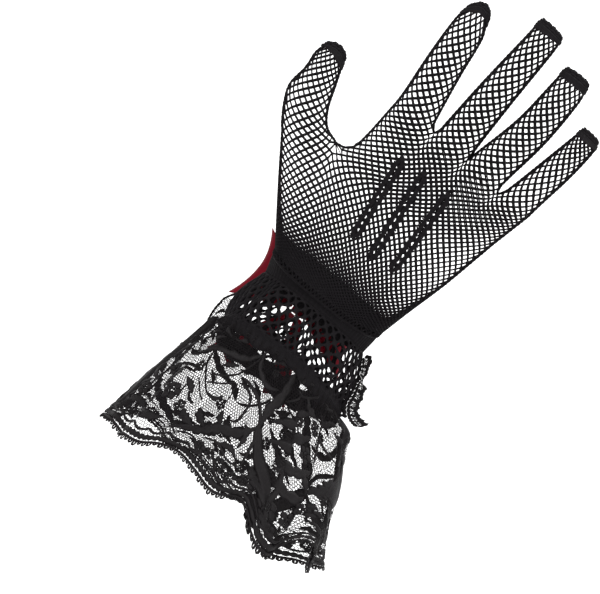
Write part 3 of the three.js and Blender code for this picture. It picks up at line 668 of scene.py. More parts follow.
def tube_on(bm, path, radius_at, sides=8):
    """A closed tube through the points of path. radius_at takes a share of its length."""
    points = [Vector(p) for p in path]
    tangents = []
    for i in range(len(points)):
        tangents.append((points[min(i + 1, len(points) - 1)] - points[max(i - 1, 0)]).normalized())
    up = tangents[0].orthogonal().normalized()
    frames = []
    for tangent in tangents:
        up = (up - tangent * up.dot(tangent)).normalized()
        frames.append((up.copy(), tangent.cross(up)))
    steps = len(points) - 1

    def place(u, w):
        i = round(w * steps)
        angle = 2 * math.pi * u
        size = radius_at(w)
        a, b = frames[i]
        return points[i] + a * math.cos(angle) * size + b * math.sin(angle) * size

    made, _ = grid_on(bm, sides, steps, place, closed=True, uv=lambda u, w: (u, w * steps / 4))
    rims = {e for v in made for e in v.link_edges if e.is_boundary}
    bmesh.ops.holes_fill(bm, edges=list(rims), sides=0)


def smooth_line(points, steps):
    """A smooth line through a few points, in equal steps."""
    points = [Vector(p) for p in points]
    dense = []
    for i in range(len(points) - 1):
        a, b = points[i], points[i + 1]
        before, after = points[max(i - 1, 0)], points[min(i + 2, len(points) - 1)]
        for k in range(8):
            dense.append(eased(a, b, (b - before) * 0.5, (after - a) * 0.5, k / 8))
    dense.append(points[-1])
    return equal_steps(dense, steps)


def strip_on(bm, place, line, half, height=0.45, sides=6, step=1.1, teeth=0, taper=0.3):
    """A domed strip of close thread along a line on flat cloth, which place puts on the worn one."""
    rough = sum((Vector(b) - Vector(a)).length for a, b in zip(line, line[1:]))
    steps = max(6, 6 * teeth, round(rough / step))
    path = smooth_line(line, steps)

    def on_cloth(u, w):
        i = round(w * steps)
        ahead = path[min(i + 1, steps)] - path[max(i - 1, 0)]
        across = Vector((-ahead.y, ahead.x)).normalized()
        grown = math.sin(math.pi / 2 * min(1, w / taper, (1 - w) / taper))
        bite = 0.62 + 0.38 * abs(math.sin(math.pi * w * teeth)) if teeth else 1
        angle = 2 * math.pi * u
        spot = path[i] + across * half * grown * bite * math.cos(angle)
        return place(spot.x, spot.y, height * grown**0.5 * math.sin(angle))

    grid_on(bm, sides, steps, on_cloth, closed=True, uv=lambda u, w: (w * steps * step, 2 * half * u))


def flower_on(bm, place, x, y, radius, petals):
    for i in range(petals):
        angle = 2 * math.pi * (i / petals + x * 0.37)
        way = Vector((math.cos(angle), math.sin(angle)))
        middle = Vector((x, y))
        line = [middle + way * radius * share for share in (0.22, 0.6, 1)]
        strip_on(bm, place, line, radius * 0.4, taper=0.5, step=0.9)
    ring = [(x + 0.2 * radius * math.cos(k), y + 0.2 * radius * math.sin(k)) for k in range(7)]
    strip_on(bm, place, ring, 0.4, height=0.7, sides=5, step=0.5, taper=0.1)


def border_on(bm, place, end, top, bottom):
    """A border of cords, a close band and picots along an edge of flat lace, from 0 to end."""
    count = round(end)
    runs = [end * i / count for i in range(count + 1)]
    scallops = [(x, top + 1.6 * abs(math.sin(math.pi * x / 8))) for x in runs]
    strip_on(bm, place, scallops, 0.55, step=0.9, taper=0.01)
    middle = (top + bottom) / 2 + 0.6
    strip_on(bm, place, [(x, middle) for x in runs], 1.35, step=0.8, teeth=count // 2, taper=0.01)
    strip_on(bm, place, [(x, bottom - 0.5) for x in runs], 0.5, step=0.9, taper=0.01)
    for i in range(int(end / 1.9)):
        x = 1.9 * i + 0.95
        foot = bottom - 0.6
        deep = bottom + 1.0 + 0.4 * math.sin(i * 2.3)
        picot = [(-0.45, foot), (-0.5, deep - 0.5), (0, deep), (0.5, deep - 0.5), (0.45, foot)]
        line = [(x + across, y) for across, y in picot]
        strip_on(bm, place, line, 0.42, height=0.35, sides=4, step=0.6, taper=0.1)


def diamond_net(bm, lattice, part):
    """Diamonds between the points of a lattice that is given at half steps."""
    knot = bm.verts.layers.int.get("knot") or bm.verts.layers.int.new("knot")
    owner = bm.verts.layers.int.get("owner") or bm.verts.layers.int.new("owner")
    rows, columns = (len(lattice) - 1) // 2, (len(lattice[0]) - 1) // 2
    made = bmesh.ops.create_grid(bm, x_segments=columns, y_segments=rows, size=1)["verts"]
    for v in made:
        v[knot] = 1
    faces = list({f for v in made for f in v.link_faces})
    centres = bmesh.ops.poke(bm, faces=faces, offset=0)["verts"]
    for v in centres:
        v[knot] = 0
        v[owner] = part
    for v in made + centres:
        i = round((v.co.x + 1) * columns)
        j = round((v.co.y + 1) * rows)
        v.co = lattice[j][i]
    return made


def open_diamonds(bm):
    """Welds the lattices and takes out the grid's own edges, so that diamonds are left."""
    knot = bm.verts.layers.int["knot"]
    bmesh.ops.remove_doubles(bm, verts=bm.verts, dist=WELD)
    spare = [e for e in bm.edges if len(e.link_faces) == 2 and all(v[knot] for v in e.verts)]
    bmesh.ops.dissolve_edges(bm, edges=spare, use_verts=False)


def to_strands(bm, thickness):
    bmesh.ops.recalc_face_normals(bm, faces=bm.faces)
    bmesh.ops.wireframe(
        bm, faces=bm.faces, thickness=thickness,
        use_replace=True, use_boundary=True, use_even_offset=False,
    )


def hex_ground(columns, rows, place, thread):
    """Flat hexagonal net: bricks turned to hexagons, each with its middle cut out."""
    bm = bmesh.new()
    made = bmesh.ops.create_grid(bm, x_segments=2 * columns, y_segments=rows, size=1)["verts"]
    where = {v: (round((v.co.x + 1) * columns), round((v.co.y + 1) / 2 * rows)) for v in made}
    spare = []
    for e in bm.edges:
        (i, j), (k, m) = where[e.verts[0]], where[e.verts[1]]
        if i == k and 0 < i < 2 * columns and (i + min(j, m)) % 2 == 0:
            spare.append(e)
    for v, (i, j) in where.items():
        shift = 0.16 * (1 if (i + j) % 2 else -1) if 0 < j < rows else 0
        v.co = place(i / (2 * columns), (j + shift) / rows)
    bmesh.ops.dissolve_edges(bm, edges=spare, use_verts=False)
    bmesh.ops.remove_doubles(bm, verts=[v for v in bm.verts if v.is_boundary], dist=1e-3)
    faces = list(bm.faces)
    bmesh.ops.inset_individual(bm, faces=faces, thickness=thread / 2, use_even_offset=True)
    bmesh.ops.delete(bm, geom=faces, context="FACES")
    return bm


# Materials

def new_group(name, **inputs):
    """A node group on a vector that gives a height and a tone."""
    tree = bpy.data.node_groups.new(name, "ShaderNodeTree")
    for label, default in inputs.items():
        socket = tree.interface.new_socket(label, in_out="INPUT", socket_type="NodeSocketFloat")
        socket.default_value = default
    tree.interface.new_socket("Vector", in_out="INPUT", socket_type="NodeSocketVector")
    for label in ("Height", "Tone"):
        tree.interface.new_socket(label, in_out="OUTPUT", socket_type="NodeSocketFloat")
    return tree, tree.nodes.new("NodeGroupInput"), tree.nodes.new("NodeGroupOutput")


def feed(tree, target, inputs):
    """Gives each named input a value, or the output of another node."""
    for label, value in inputs.items():
        if isinstance(value, bpy.types.NodeSocket):
            tree.links.new(value, target.inputs[label])
        else:
            target.inputs[label].default_value = value


def add_node(tree, kind, inputs, **settings):
    node = tree.nodes.new(f"ShaderNode{kind}")
    for name, value in settings.items():
        setattr(node, name, value)
    feed(tree, node, inputs)
    return node


def math_node(tree, operation, *values):
    return add_node(tree, "Math", dict(enumerate(values)), operation=operation).outputs[0]


def fibre_group():
    """Spun yarn: fine fibres along one way and soft uneven tone."""
    tree, source, result = new_group("spun yarn", Scale=1.0)
    scale = {0: source.outputs["Vector"], "Scale": source.outputs["Scale"]}
    place = {"Vector": add_node(tree, "VectorMath", scale, operation="SCALE").outputs[0]}
    fine = add_node(tree, "TexNoise", {"Scale": 5200, "Detail": 3, **place})
    twist = add_node(
        tree, "TexWave", {"Scale": 900, "Distortion": 3, **place}, bands_direction="DIAGONAL")
    tone = add_node(tree, "TexNoise", {"Scale": 130, "Detail": 4, **place})
    height = math_node(tree, "ADD", math_node(tree, "MULTIPLY", fine.outputs[0], 0.5), twist.outputs[1])
    feed(tree, result, {"Height": height, "Tone": tone.outputs[0]})
    return tree


def knit_group():
    """Close knit on a UV map in millimetres: columns of slanted stitches in rows."""
    tree, source, result = new_group("close knit", Wale=1.0, Course=1.0)
    split = add_node(tree, "SeparateXYZ", {0: source.outputs["Vector"]})
    across = math_node(tree, "DIVIDE", split.outputs[0], source.outputs["Wale"])
    along = math_node(tree, "DIVIDE", split.outputs[1], source.outputs["Course"])
    cell = math_node(tree, "SUBTRACT", math_node(tree, "FRACT", across), 0.5)
    lean = math_node(tree, "ABSOLUTE", cell)
    slanted = math_node(tree, "ADD", along, math_node(tree, "MULTIPLY", lean, 1.1))
    stitch = math_node(tree, "SINE", math_node(tree, "MULTIPLY", slanted, 2 * math.pi))
    groove = math_node(tree, "COSINE", math_node(tree, "MULTIPLY", across, 4 * math.pi))
    stitches = math_node(tree, "MULTIPLY", stitch, 0.5)
    grooves = math_node(tree, "MULTIPLY", groove, -0.6)
    height = math_node(tree, "ADD", stitches, grooves)
    tone = add_node(tree, "TexNoise", {"Scale": 0.35, "Detail": 4, "Vector": source.outputs["Vector"]})
    feed(tree, result, {"Height": height, "Tone": tone.outputs[0]})
    return tree


def new_material(name):
    material = bpy.data.materials.new(name)
    material.use_nodes = True
    return material, material.node_tree, material.node_tree.nodes["Principled BSDF"]


def colour_between(tree, low, high, share):
    mix = add_node(tree, "Mix", {}, data_type="RGBA")
    feed(tree, mix, {"A": (*low, 1), "B": (*high, 1), "Factor": share})
    return mix.outputs["Result"]


def cloth_material(
    name, colour, group, settings, uses_uv=False, bump=0.4, distance=0.0001, rough=(0.6, 0.85),
    gloss=0.07, lift=1.8,
):
    """Cloth whose colour and roughness follow the group's tone, with the group's height as bump."""
    material, tree, shader = new_material(name)
    coordinate = tree.nodes.new("ShaderNodeTexCoord").outputs["UV" if uses_uv else "Object"]
    cloth = tree.nodes.new("ShaderNodeGroup")
    cloth.node_tree = group
    feed(tree, cloth, {**settings, "Vector": coordinate})
    tone, height = cloth.outputs["Tone"], cloth.outputs["Height"]
    spread = add_node(tree, "MapRange", {"To Min": rough[0], "To Max": rough[1], "Value": tone})
    raised = add_node(tree, "Bump", {"Strength": bump, "Distance": distance, "Height": height})
    feed(tree, shader, {
        "Base Color": colour_between(tree, colour, [c * lift for c in colour], tone),
        "Roughness": spread.outputs[0],
        "Specular IOR Level": gloss,
        "Normal": raised.outputs[0],
    })
    return material


def finish(name):
    """The cloth called name, made at its first use."""
    made = bpy.data.materials.get(name)
    if made:
        return made
    colours = bpy.context.scene.glove_colours
    groups = bpy.data.node_groups
    yarn = groups.get("spun yarn") or fibre_group()
    knit = groups.get("close knit") or knit_group()
    colour, group, settings, look = {
        "fishnet yarn": (colours.yarn, yarn, {"Scale": 1.0}, {}),
        "coarse net yarn": (colours.yarn, yarn, {"Scale": 0.6}, {"bump": 0.6}),
        "tulle thread": (colours.lace, yarn, {"Scale": 1.4}, {"bump": 0.2}),
        "lace thread": (
            colours.lace, knit, {"Wale": 0.5, "Course": 1.4},
            {"uses_uv": True, "bump": 0.5, "rough": (0.4, 0.62), "gloss": 0.12},
        ),
        "close knit cloth": (
            colours.yarn, knit, {"Wale": 1.1, "Course": 0.9}, {"uses_uv": True, "bump": 0.6}),
        "satin ribbon": (
            colours.satin, knit, {"Wale": 0.25, "Course": 0.25},
            {"uses_uv": True, "bump": 0.08, "distance": 0.00003, "rough": (0.42, 0.58), "lift": 1.4},
        ),
    }[name]
    return cloth_material(name, colour, group, settings, **look)


# Properties

class GloveSizes(bpy.types.PropertyGroup):
    net_strand: bpy.props.FloatProperty(
        name="Net strand", description="Thickness of the fishnet's yarn",
        default=0.00112, unit="LENGTH")
    seam: bpy.props.FloatProperty(
        name="Side seam", description="Width of the seam along each digit",
        default=0.0013, unit="LENGTH")
    frill_strand: bpy.props.FloatProperty(
        name="Frill strand", description="Thickness of the frill's coarse yarn",
        default=0.0012, unit="LENGTH")
    tulle_thread: bpy.props.FloatProperty(
        name="Tulle thread", description="Width of the threads of the lace ground",
        default=0.00031, unit="LENGTH")


class GloveColours(bpy.types.PropertyGroup):
    yarn: bpy.props.FloatVectorProperty(
        name="Yarn", description="Black of the net and knit",
        subtype="COLOR", default=(0.0042, 0.0036, 0.0042))
    lace: bpy.props.FloatVectorProperty(
        name="Lace", description="Black of the lace",
        subtype="COLOR", default=(0.0046, 0.0038, 0.0042))
    satin: bpy.props.FloatVectorProperty(
        name="Satin", description="Red of the ribbon",
        subtype="COLOR", default=(0.088, 0.0009, 0.0055))
    backdrop: bpy.props.FloatVectorProperty(
        name="Backdrop", description="Floor and backdrop",
        subtype="COLOR", default=(0.9, 0.9, 0.9))


def millimetres(name):
    return getattr(bpy.context.scene.glove_sizes, name) / MM


# Operators

class GLOVE_OT_nets(bpy.types.Operator):
    """Fishnet of the back, the palm and the digits"""
    bl_idname = "glove.nets"
    bl_label = "Fishnet"

    def execute(self, context):
        for word, lattices in zip(("back", "palm"), both_lattices()):
            bm = bmesh.new()
            for p in lattices["lower"][0]:
                p.z -= 2.0
            for name, lattice in lattices.items():
                diamond_net(bm, lattice, int(name in DIGITS))
            open_diamonds(bm)
            digit_nets = tuple(f"{name}_net" for name in DIGITS)
            for part, label, replaced in ((0, "hand", ("palm_net",)), (1, "digits", digit_nets)):
                share = bm.copy()
                owner = share.verts.layers.int["owner"]
                spare = [f for f in share.faces if max(v[owner] for v in f.verts) != part]
                bmesh.ops.delete(share, geom=spare, context="FACES")
                to_strands(share, millimetres("net_strand"))
                bmesh.ops.recalc_face_normals(share, faces=share.faces)
                share.normal_update()
                for v in share.verts:
                    v.co += v.normal * WRIST_THICKENING * (1 - smooth_step(2, 58, v.co.z))
                yarn = finish("fishnet yarn")
                finish_piece(share, f"{word}_{label}_net", yarn, replaced)
            bm.free()
        return {"FINISHED"}


class GLOVE_OT_side_seams(bpy.types.Operator):
    """Seams along the sides of the hand and the digits"""
    bl_idname = "glove.side_seams"
    bl_label = "Side seams"

    def execute(self, context):
        lattices = hand_lattices(-1)
        first = {name: [row[0] for row in lattice] for name, lattice in lattices.items()}
        last = {name: [row[-1] for row in lattice] for name, lattice in lattices.items()}
        lines = [
            first["lower"] + first["thumb"][1:],
            last["thumb"][::-1] + first["upper"][1:] + first["index"][1:],
            last["index"][::-1] + first["middle"][1:],
            last["middle"][::-1] + first["ring"][1:],
            last["ring"][::-1] + first["little"][1:],
            last["little"][::-1] + last["upper"][::-1][1:] + last["lower"][::-1][1:],
        ]
        bm = bmesh.new()
        for line in lines:
            path = equal_steps(line, int(sum((b - a).length for a, b in zip(line, line[1:])) / 0.7))
            count = len(path)
            half = millimetres("seam") / 2
            tube_on(bm, path, lambda w: half * (1 + 0.16 * math.sin(w * count * 1.9)), sides=6)
        finish_piece(bm, "side_seams", finish("coarse net yarn"))
        return {"FINISHED"}


class GLOVE_OT_tips(bpy.types.Operator):
    """Dense gathered ends of the digits"""
    bl_idname = "glove.tips"
    bl_label = "Fingertips"

    def execute(self, context):
        for name in DIGITS:
            bm = bmesh.new()
            left, right, _, rounding = digit_ends(name, 1)
            low, slant = TIPS[name]

            def place(u, w):
                angle = 2 * math.pi * u
                start = low - slant * math.cos(angle) + 0.004 * math.sin(angle * 9)
                if w < 0.6:
                    t, shrink = start + (1 - start) * w / 0.6, 1
                else:
                    t, shrink = 1, 1 - (w - 0.6) / 0.4
                ribs = 0.2 * math.sin(angle * 17 + 4 * w) * min(1, w * 3)
                turns = 0.14 * math.sin(w * 31 + 9 * u)
                point = digit_point(name, t, u, 0.45 + ribs + turns)
                if shrink < 1:
                    corners = digit_point(name, 1, 0), digit_point(name, 1, 0.5)
                    flat = corners[0].lerp(corners[1], (1 - math.cos(angle)) / 2)
                    flat.z = point.z + 1.2 * (1 - shrink)
                    point = flat.lerp(point, shrink)
                return point

            grid_on(bm, 72, 14, place, closed=True, uv=lambda u, w: (u * 44, w * 9))
            bmesh.ops.solidify(bm, geom=bm.faces, thickness=-TIP_CLOTH)
            steps = 42
            for layer, (lift, size, forward) in enumerate(TIP_RIDGES):
                ridge = []
                for i in range(steps + 1):
                    across = 2 * i / steps - 1
                    point = bent_back(left.lerp(right, i / steps))
                    lobes = abs(math.sin(across * math.pi * 2.0 + 0.5 * layer))
                    point.z += rounding * (1 - across**2) + lift + 0.75 * lobes
                    point.y -= forward * round_oval(across)
                    ridge.append(point)
                tube_on(bm, ridge, lambda w: size * (1 + 0.22 * math.sin(w * steps * 2.1 + layer)))
            knit = finish("close knit cloth")
            finish_piece(bm, f"{name}_tip", knit, (f"{name}_tip_seam",), levels=1)
        return {"FINISHED"}


class GLOVE_OT_back_points(bpy.types.Operator):
    """Three stitched rows with eyelets on the back of the hand"""
    bl_idname = "glove.back_points"
    bl_label = "Stitched points"

    def execute(self, context):
        rows = [lower_palm_row(0.2 + 0.04 * i, -1) for i in range(21)]
        rows += [upper_palm_row(0.1 * i, -1) for i in range(1, 10)]
        cloud = [p for row in rows for p in row]

        def on_back(x, z, lift):
            near = sorted(cloud, key=lambda p: (p.x - x) ** 2 + (p.z - z) ** 2)[:6]
            weights = [1 / ((p.x - x) ** 2 + (p.z - z) ** 2 + 1) for p in near]
            y = sum(p.y * w for p, w in zip(near, weights)) / sum(weights)
            return Vector((x, y - lift, z))

        def on_stitches(x, z, lift):
            return on_back(x, z, 0.4 + lift)

        for number, point in enumerate(BACK_POINTS, 1):
            bm = bmesh.new()
            foot = Vector((point["foot_x"], 0, point["foot_z"]))
            top = Vector((point["top_x"], 0, point["top_z"]))
            along = (top - foot).normalized()
            out = Vector((along.z, 0, -along.x))
            for edge in (-1, 1):
                for strand in range(2):
                    path = []
                    for i in range(85):
                        s = i / 84
                        wave = abs(math.sin(math.pi * EYELETS * s))
                        offset = edge * (0.6 + 0.55 * wave + 0.85 * strand)
                        spot = foot.lerp(top, s) + out * offset
                        lift = 0.35 + 0.15 * math.sin(i * 1.7 + strand * 2)
                        path.append(on_back(spot.x, spot.z, lift))
                    tube_on(bm, path, lambda w: 0.7 + 0.12 * math.sin(w * 180), sides=6)
            for i in range(EYELETS * 3 + 1):
                s = i / (EYELETS * 3)
                for edge in (-1, 1):
                    start = foot.lerp(top, s) + out * edge * 1.4
                    reach = 1.4 + 0.6 * math.sin(i * 2.4 + edge)
                    end = start + out * edge * reach + along * (0.9 * math.sin(i * 1.3))
                    path = [on_back(*(start.lerp(end, k / 3).xz), 0.25) for k in range(4)]
                    tube_on(bm, path, lambda w: 0.6 - 0.25 * w, sides=5)
            for end, onward, reach in ((top, along, 3.4), (foot, -along, 2.2)):
                for angle in (-0.5, 0.0, 0.5):
                    way = onward * math.cos(angle) + out * math.sin(angle)
                    line = [(end.x + way.x * r, end.z + way.z * r) for r in (-1.5, reach / 2, reach)]
                    strip_on(bm, on_stitches, line, 0.95, height=0.6, taper=0.5, step=0.8)
            yarn = finish("coarse net yarn")
            finish_piece(
                bm, f"stitched_point_{number}", yarn, (f"back_point_{number}",))
        return {"FINISHED"}


class GLOVE_OT_wrist_band(bpy.types.Operator):
    """Elastic band round the wrist"""
    bl_idname = "glove.wrist_band"
    bl_label = "Wrist band"

    def execute(self, context):
        bm = bmesh.new()

        def place(u, w):
            rib = 0.16 * ripple(u, 80) + 0.3 * ripple(u, 13, 1.0) * (1 - w)
            crown = 0.5 * math.sin(math.pi * w)
            return sleeve_point(-0.1 + 1.14 * w, u, rib + crown - 0.1)

        grid_on(bm, 320, 12, place, closed=True, uv=lambda u, w: (u * 164, w * 15))
        bmesh.ops.reverse_faces(bm, faces=bm.faces)
        bmesh.ops.solidify(bm, geom=bm.faces, thickness=BAND_CLOTH)
        knit = finish("close knit cloth")
        band = finish_piece(bm, "elastic_band", knit, ("wrist_band",))
        return {"FINISHED"}


class GLOVE_OT_net_frill(bpy.types.Operator):
    """Frill of coarse net below the wrist band"""
    bl_idname = "glove.net_frill"
    bl_label = "Net frill"

    def execute(self, context):
        bm = bmesh.new()
        columns, rows = 2 * FRILL_COLUMNS, 2 * FRILL_ROWS
        random.seed(4)
        lattice = []
        for j in range(rows + 1):
            s = (j / rows) ** 0.9
            line = []
            for i in range(columns):
                turn = (i + (0.34 * random.uniform(-1, 1) if 0 < j < rows else 0)) / columns
                turn -= 0.03 * ripple(turn, 1) + 0.006 * ripple(turn, 7)
                swell = math.sin(s * math.pi)
                bunch = (1 + s) * (0.9 * ripple(turn, 9) + 0.7 * ripple(turn, 14, 1))
                out = 0.2 + swell * (1.5 + bunch) + 2.4 * s * bell(turn, 0.5, 0.05) - drawn_in(turn, s)
                wander = 0.035 * random.uniform(-1, 1) + 0.03 * s * ripple(turn, 8, 2)
                line.append(sleeve_point(1.0 + 2.0 * s + wander, turn, out))
            line.append(line[0].copy())
            lattice.append(line)
        diamond_net(bm, lattice, 0)
        open_diamonds(bm)
        to_strands(bm, millimetres("frill_strand"))
        bm.normal_update()
        for v in bm.verts:
            bunched = 0.42 * smooth_step(-10, -28, v.co.x) + 0.3 * smooth_step(-20, -30, v.co.z)
            v.co += v.normal * bunched
        yarn = finish("coarse net yarn")
        frill = finish_piece(bm, "coarse_net_frill", yarn, ("net_frill",), levels=1)
        return {"FINISHED"}


class GLOVE_OT_gather_band(bpy.types.Operator):
    """Gathered band between the frill and the cuff"""
    bl_idname = "glove.gather_band"
    bl_label = "Gathered band"

    def execute(self, context):
        bm = bmesh.new()

        def place(u, w):
            gathers = 0.55 * ripple(u, 58, 1.5 * ripple(u, 7)) * math.sin(math.pi * w)
            roll = 1.3 * math.sin(math.pi * w)
            wander = 0.05 * ripple(u, 6, 0.7) + 0.03 * ripple(u, 17)
            out = roll + gathers + 2.6 * bell(u, 0.5, 0.05) - drawn_in(u, 1)
            return sleeve_point(2.8 + 1.2 * w + wander, u, out)

        grid_on(bm, 420, 10, place, closed=True, uv=lambda u, w: (u * 210, w * 9))
        bmesh.ops.reverse_faces(bm, faces=bm.faces)
        bmesh.ops.solidify(bm, geom=bm.faces, thickness=GATHERED_CLOTH)
        knit = finish("close knit cloth")
        band = finish_piece(bm, "gathered_band", knit, ("gather_band",))
        return {"FINISHED"}


class GLOVE_OT_lace_cuff(bpy.types.Operator):
    """Floral lace cuff: tulle ground, flowers, leaves, stems and scalloped hem"""
    bl_idname = "glove.lace_cuff"
    bl_label = "Lace cuff"

    def execute(self, context):
        thread = millimetres("tulle_thread")
        ground = hex_ground(*CUFF_MESHES, lambda u, w: cuff_point(0.985 * w, u), thread)
        tulle = finish_piece(
            ground, "cuff_tulle", finish("tulle thread"), ("lace_cuff",), smooth=False)
        lace = finish("lace thread")
        length = CUFF_ROUND / LACE_REPEATS
        for repeat in range(LACE_REPEATS):
            bm = bmesh.new()

            def place(x, y, out, start=repeat * length):
                return cuff_at(x + start, y, out)

            for shape in LACE_SHAPES:
                strip_on(bm, place, **shape)
            for flower in LACE_FLOWERS:
                flower_on(bm, place, **flower)
            border_on(bm, place, length + 0.3, BORDER_TOP, CUFF_DEEP)
            bmesh.ops.recalc_face_normals(bm, faces=bm.faces)
            finish_piece(bm, f"cuff_flowers_{repeat + 1}", lace)
        bm = bmesh.new()

        def on_roll(x, y, out):
            at_top = (6 * bell(y, 0, 6) - 2 * bell(y, 14, 7)) * bell(x, 148, 14)
            return cuff_at(x, y, out + at_top)

        for roll in EDGE_ROLLS:
            strip_on(bm, on_roll, **roll, height=1.1, sides=12, taper=0.15)
        bmesh.ops.recalc_face_normals(bm, faces=bm.faces)
        finish_piece(bm, "cuff_edge_rolls", lace)
        return {"FINISHED"}


class GLOVE_OT_lace_trims(bpy.types.Operator):
    """Narrow lace trim at the outer side and the loose corner of lace at the thumb side"""
    bl_idname = "glove.lace_trims"
    bl_label = "Lace trims"

    def execute(self, context):
        bm = bmesh.new()

        def on_trim(x, y, out):
            return trim_point(SIDE_TRIM, x / 60, y / 4, out)

        for y, half in ((0.2, 1.0), (-1.8, 1.2), (-3.8, 1.2)):
            end = 60 if y > 0 else 50
            strip_on(bm, on_trim, [(x, y) for x in range(0, end, 2)], half, teeth=end // 3, taper=0.03)
        for i in range(9):
            x = 3.2 + 6.4 * i
            edge = [(x - 3.2, 0.6), (x - 2.6, 3.2), (x, 4.4), (x + 2.6, 3.2), (x + 3.2, 0.6)]
            strip_on(bm, on_trim, edge, 1.5, teeth=5, taper=0.1)
            flower_on(bm, on_trim, x, 2.0, 1.7, 5)
        for i in range(28):
            x = 1.0 + 2.1 * i
            crest = 3.4 + 1.1 * abs(math.sin(math.pi * x / 6.4))
            picot = [(x - 0.4, crest - 0.6), (x, crest + 0.6), (x + 0.4, crest - 0.6)]
            strip_on(bm, on_trim, picot, 0.35, sides=4)
        bmesh.ops.recalc_face_normals(bm, faces=bm.faces)
        lace = finish("lace thread")
        trim = finish_piece(bm, "outer_side_trim", lace, ("side_trim",))
        thread = millimetres("tulle_thread")
        ground = hex_ground(*FLAP_MESHES, lambda u, w: trim_point(THUMB_FLAP, u, w), thread)
        tulle = finish("tulle thread")
        flap = finish_piece(
            ground, "flap_tulle", tulle, ("thumb_side_flap",), smooth=False)
        bm = bmesh.new()

        def on_flap(x, y, out):
            return trim_point(THUMB_FLAP, x / FLAP_MESHES[0], y / FLAP_MESHES[1], out)

        strip_on(bm, on_flap, [(6, 1), (5, 4), (6.6, 6.6)], 0.8, teeth=4, taper=0.4)
        rim = [(-30.5, -1, -9), (-33, 0, -15)]
        rim += [trim_point(THUMB_FLAP, i / 6, 1) for i in range(7)]
        rim += [trim_point(THUMB_FLAP, 1, 0.5), trim_point(THUMB_FLAP, 1, 0)]

        def rim_radius(w):
            return 1.0 - 0.45 * smooth_step(0, 0.4, w) + 0.1 * math.sin(120 * w)

        tube_on(bm, smooth_line(rim, 60), rim_radius)
        bmesh.ops.recalc_face_normals(bm, faces=bm.faces)
        outline = finish_piece(bm, "flap_outline", lace)
        return {"FINISHED"}


class GLOVE_OT_bow(bpy.types.Operator):
    """Satin bow on the palm side of the wrist"""
    bl_idname = "glove.bow"
    bl_label = "Satin bow"

    def execute(self, context):
        satin = finish("satin ribbon")
        for direction, word in ((-1, "thumb_side"), (1, "outer_side")):
            bm = bmesh.new()

            def loop_place(u, w):
                turn = 2 * math.pi * w
                share = 2 * u - 1
                reach = 0.5 - 0.5 * math.cos(turn)
                half = 4.2 + 14.8 * reach**0.8
                corner = 3 * reach**3 * max(0, -share) ** 2 if direction < 0 else 0
                pinch = 7 * reach * (1 - share * share) + corner
                crease = 0.75 * math.sin(share * 10.5 + 0.8 * turn) * (1 - reach) ** 0.8
                x = BOW.x + direction * (4.2 + 32 * reach - pinch)
                y = BOW.y - 7 * math.sin(turn) * (0.35 + 0.65 * reach) - 1.2 * reach + crease
                return Vector((x, y, BOW.z + share * half + 1.2 * reach))

            grid_on(bm, 26, 48, loop_place, uv=lambda u, w: (u * 38, w * 70))
            bmesh.ops.remove_doubles(bm, verts=bm.verts, dist=1e-3)
            if direction > 0:
                bmesh.ops.reverse_faces(bm, faces=bm.faces)
            bmesh.ops.solidify(bm, geom=bm.faces, thickness=RIBBON)
            loop = finish_piece(
                bm, f"bow_{word}_loop", satin, (f"bow_loop_{word}",), levels=1)
            bm = bmesh.new()

            def tail_place(u, w):
                share = 2 * u - 1
                half = 1.9 + 5.1 * w**0.8
                x = BOW.x + direction * (2.15 + 15.75 * w) + share * half
                y = BOW.y + 2.2 + 4.0 * min(1, w * 8) - 3 * w + 0.5 * math.sin(w * 9 + share)
                z = BOW.z - 6.0 - 40.2 * w + 5 * (1 - abs(share)) * smooth_step(0.8, 1, w)
                return Vector((x, y, z))

            grid_on(bm, 8, 30, tail_place, uv=lambda u, w: (u * 14, w * 42))
            bmesh.ops.solidify(bm, geom=bm.faces, thickness=RIBBON)
            tail = finish_piece(
                bm, f"bow_{word}_tail", satin, (f"bow_tail_{word}",), levels=1)
        bm = bmesh.new()
        rings = 14

        def knot_place(u, w):
            swell = 0.9 + 0.08 * math.sin(math.pi * w) + 0.02 * math.sin(8 * math.pi * u)
            if w in (0, 1):
                swell = 0
            angle = 2 * math.pi * u
            height = 11.6 * min(max((rings * w - 1) / (rings - 2), 0), 1) - 5.8
            return BOW + Vector((4.1 * swell * math.cos(angle), 3.6 * swell * math.sin(angle), height))

        grid_on(bm, 28, rings, knot_place, closed=True, uv=lambda u, w: (u * 22, w * 12))
        finish_piece(bm, "bow_centre", satin, ("bow_knot",), levels=1)
        return {"FINISHED"}


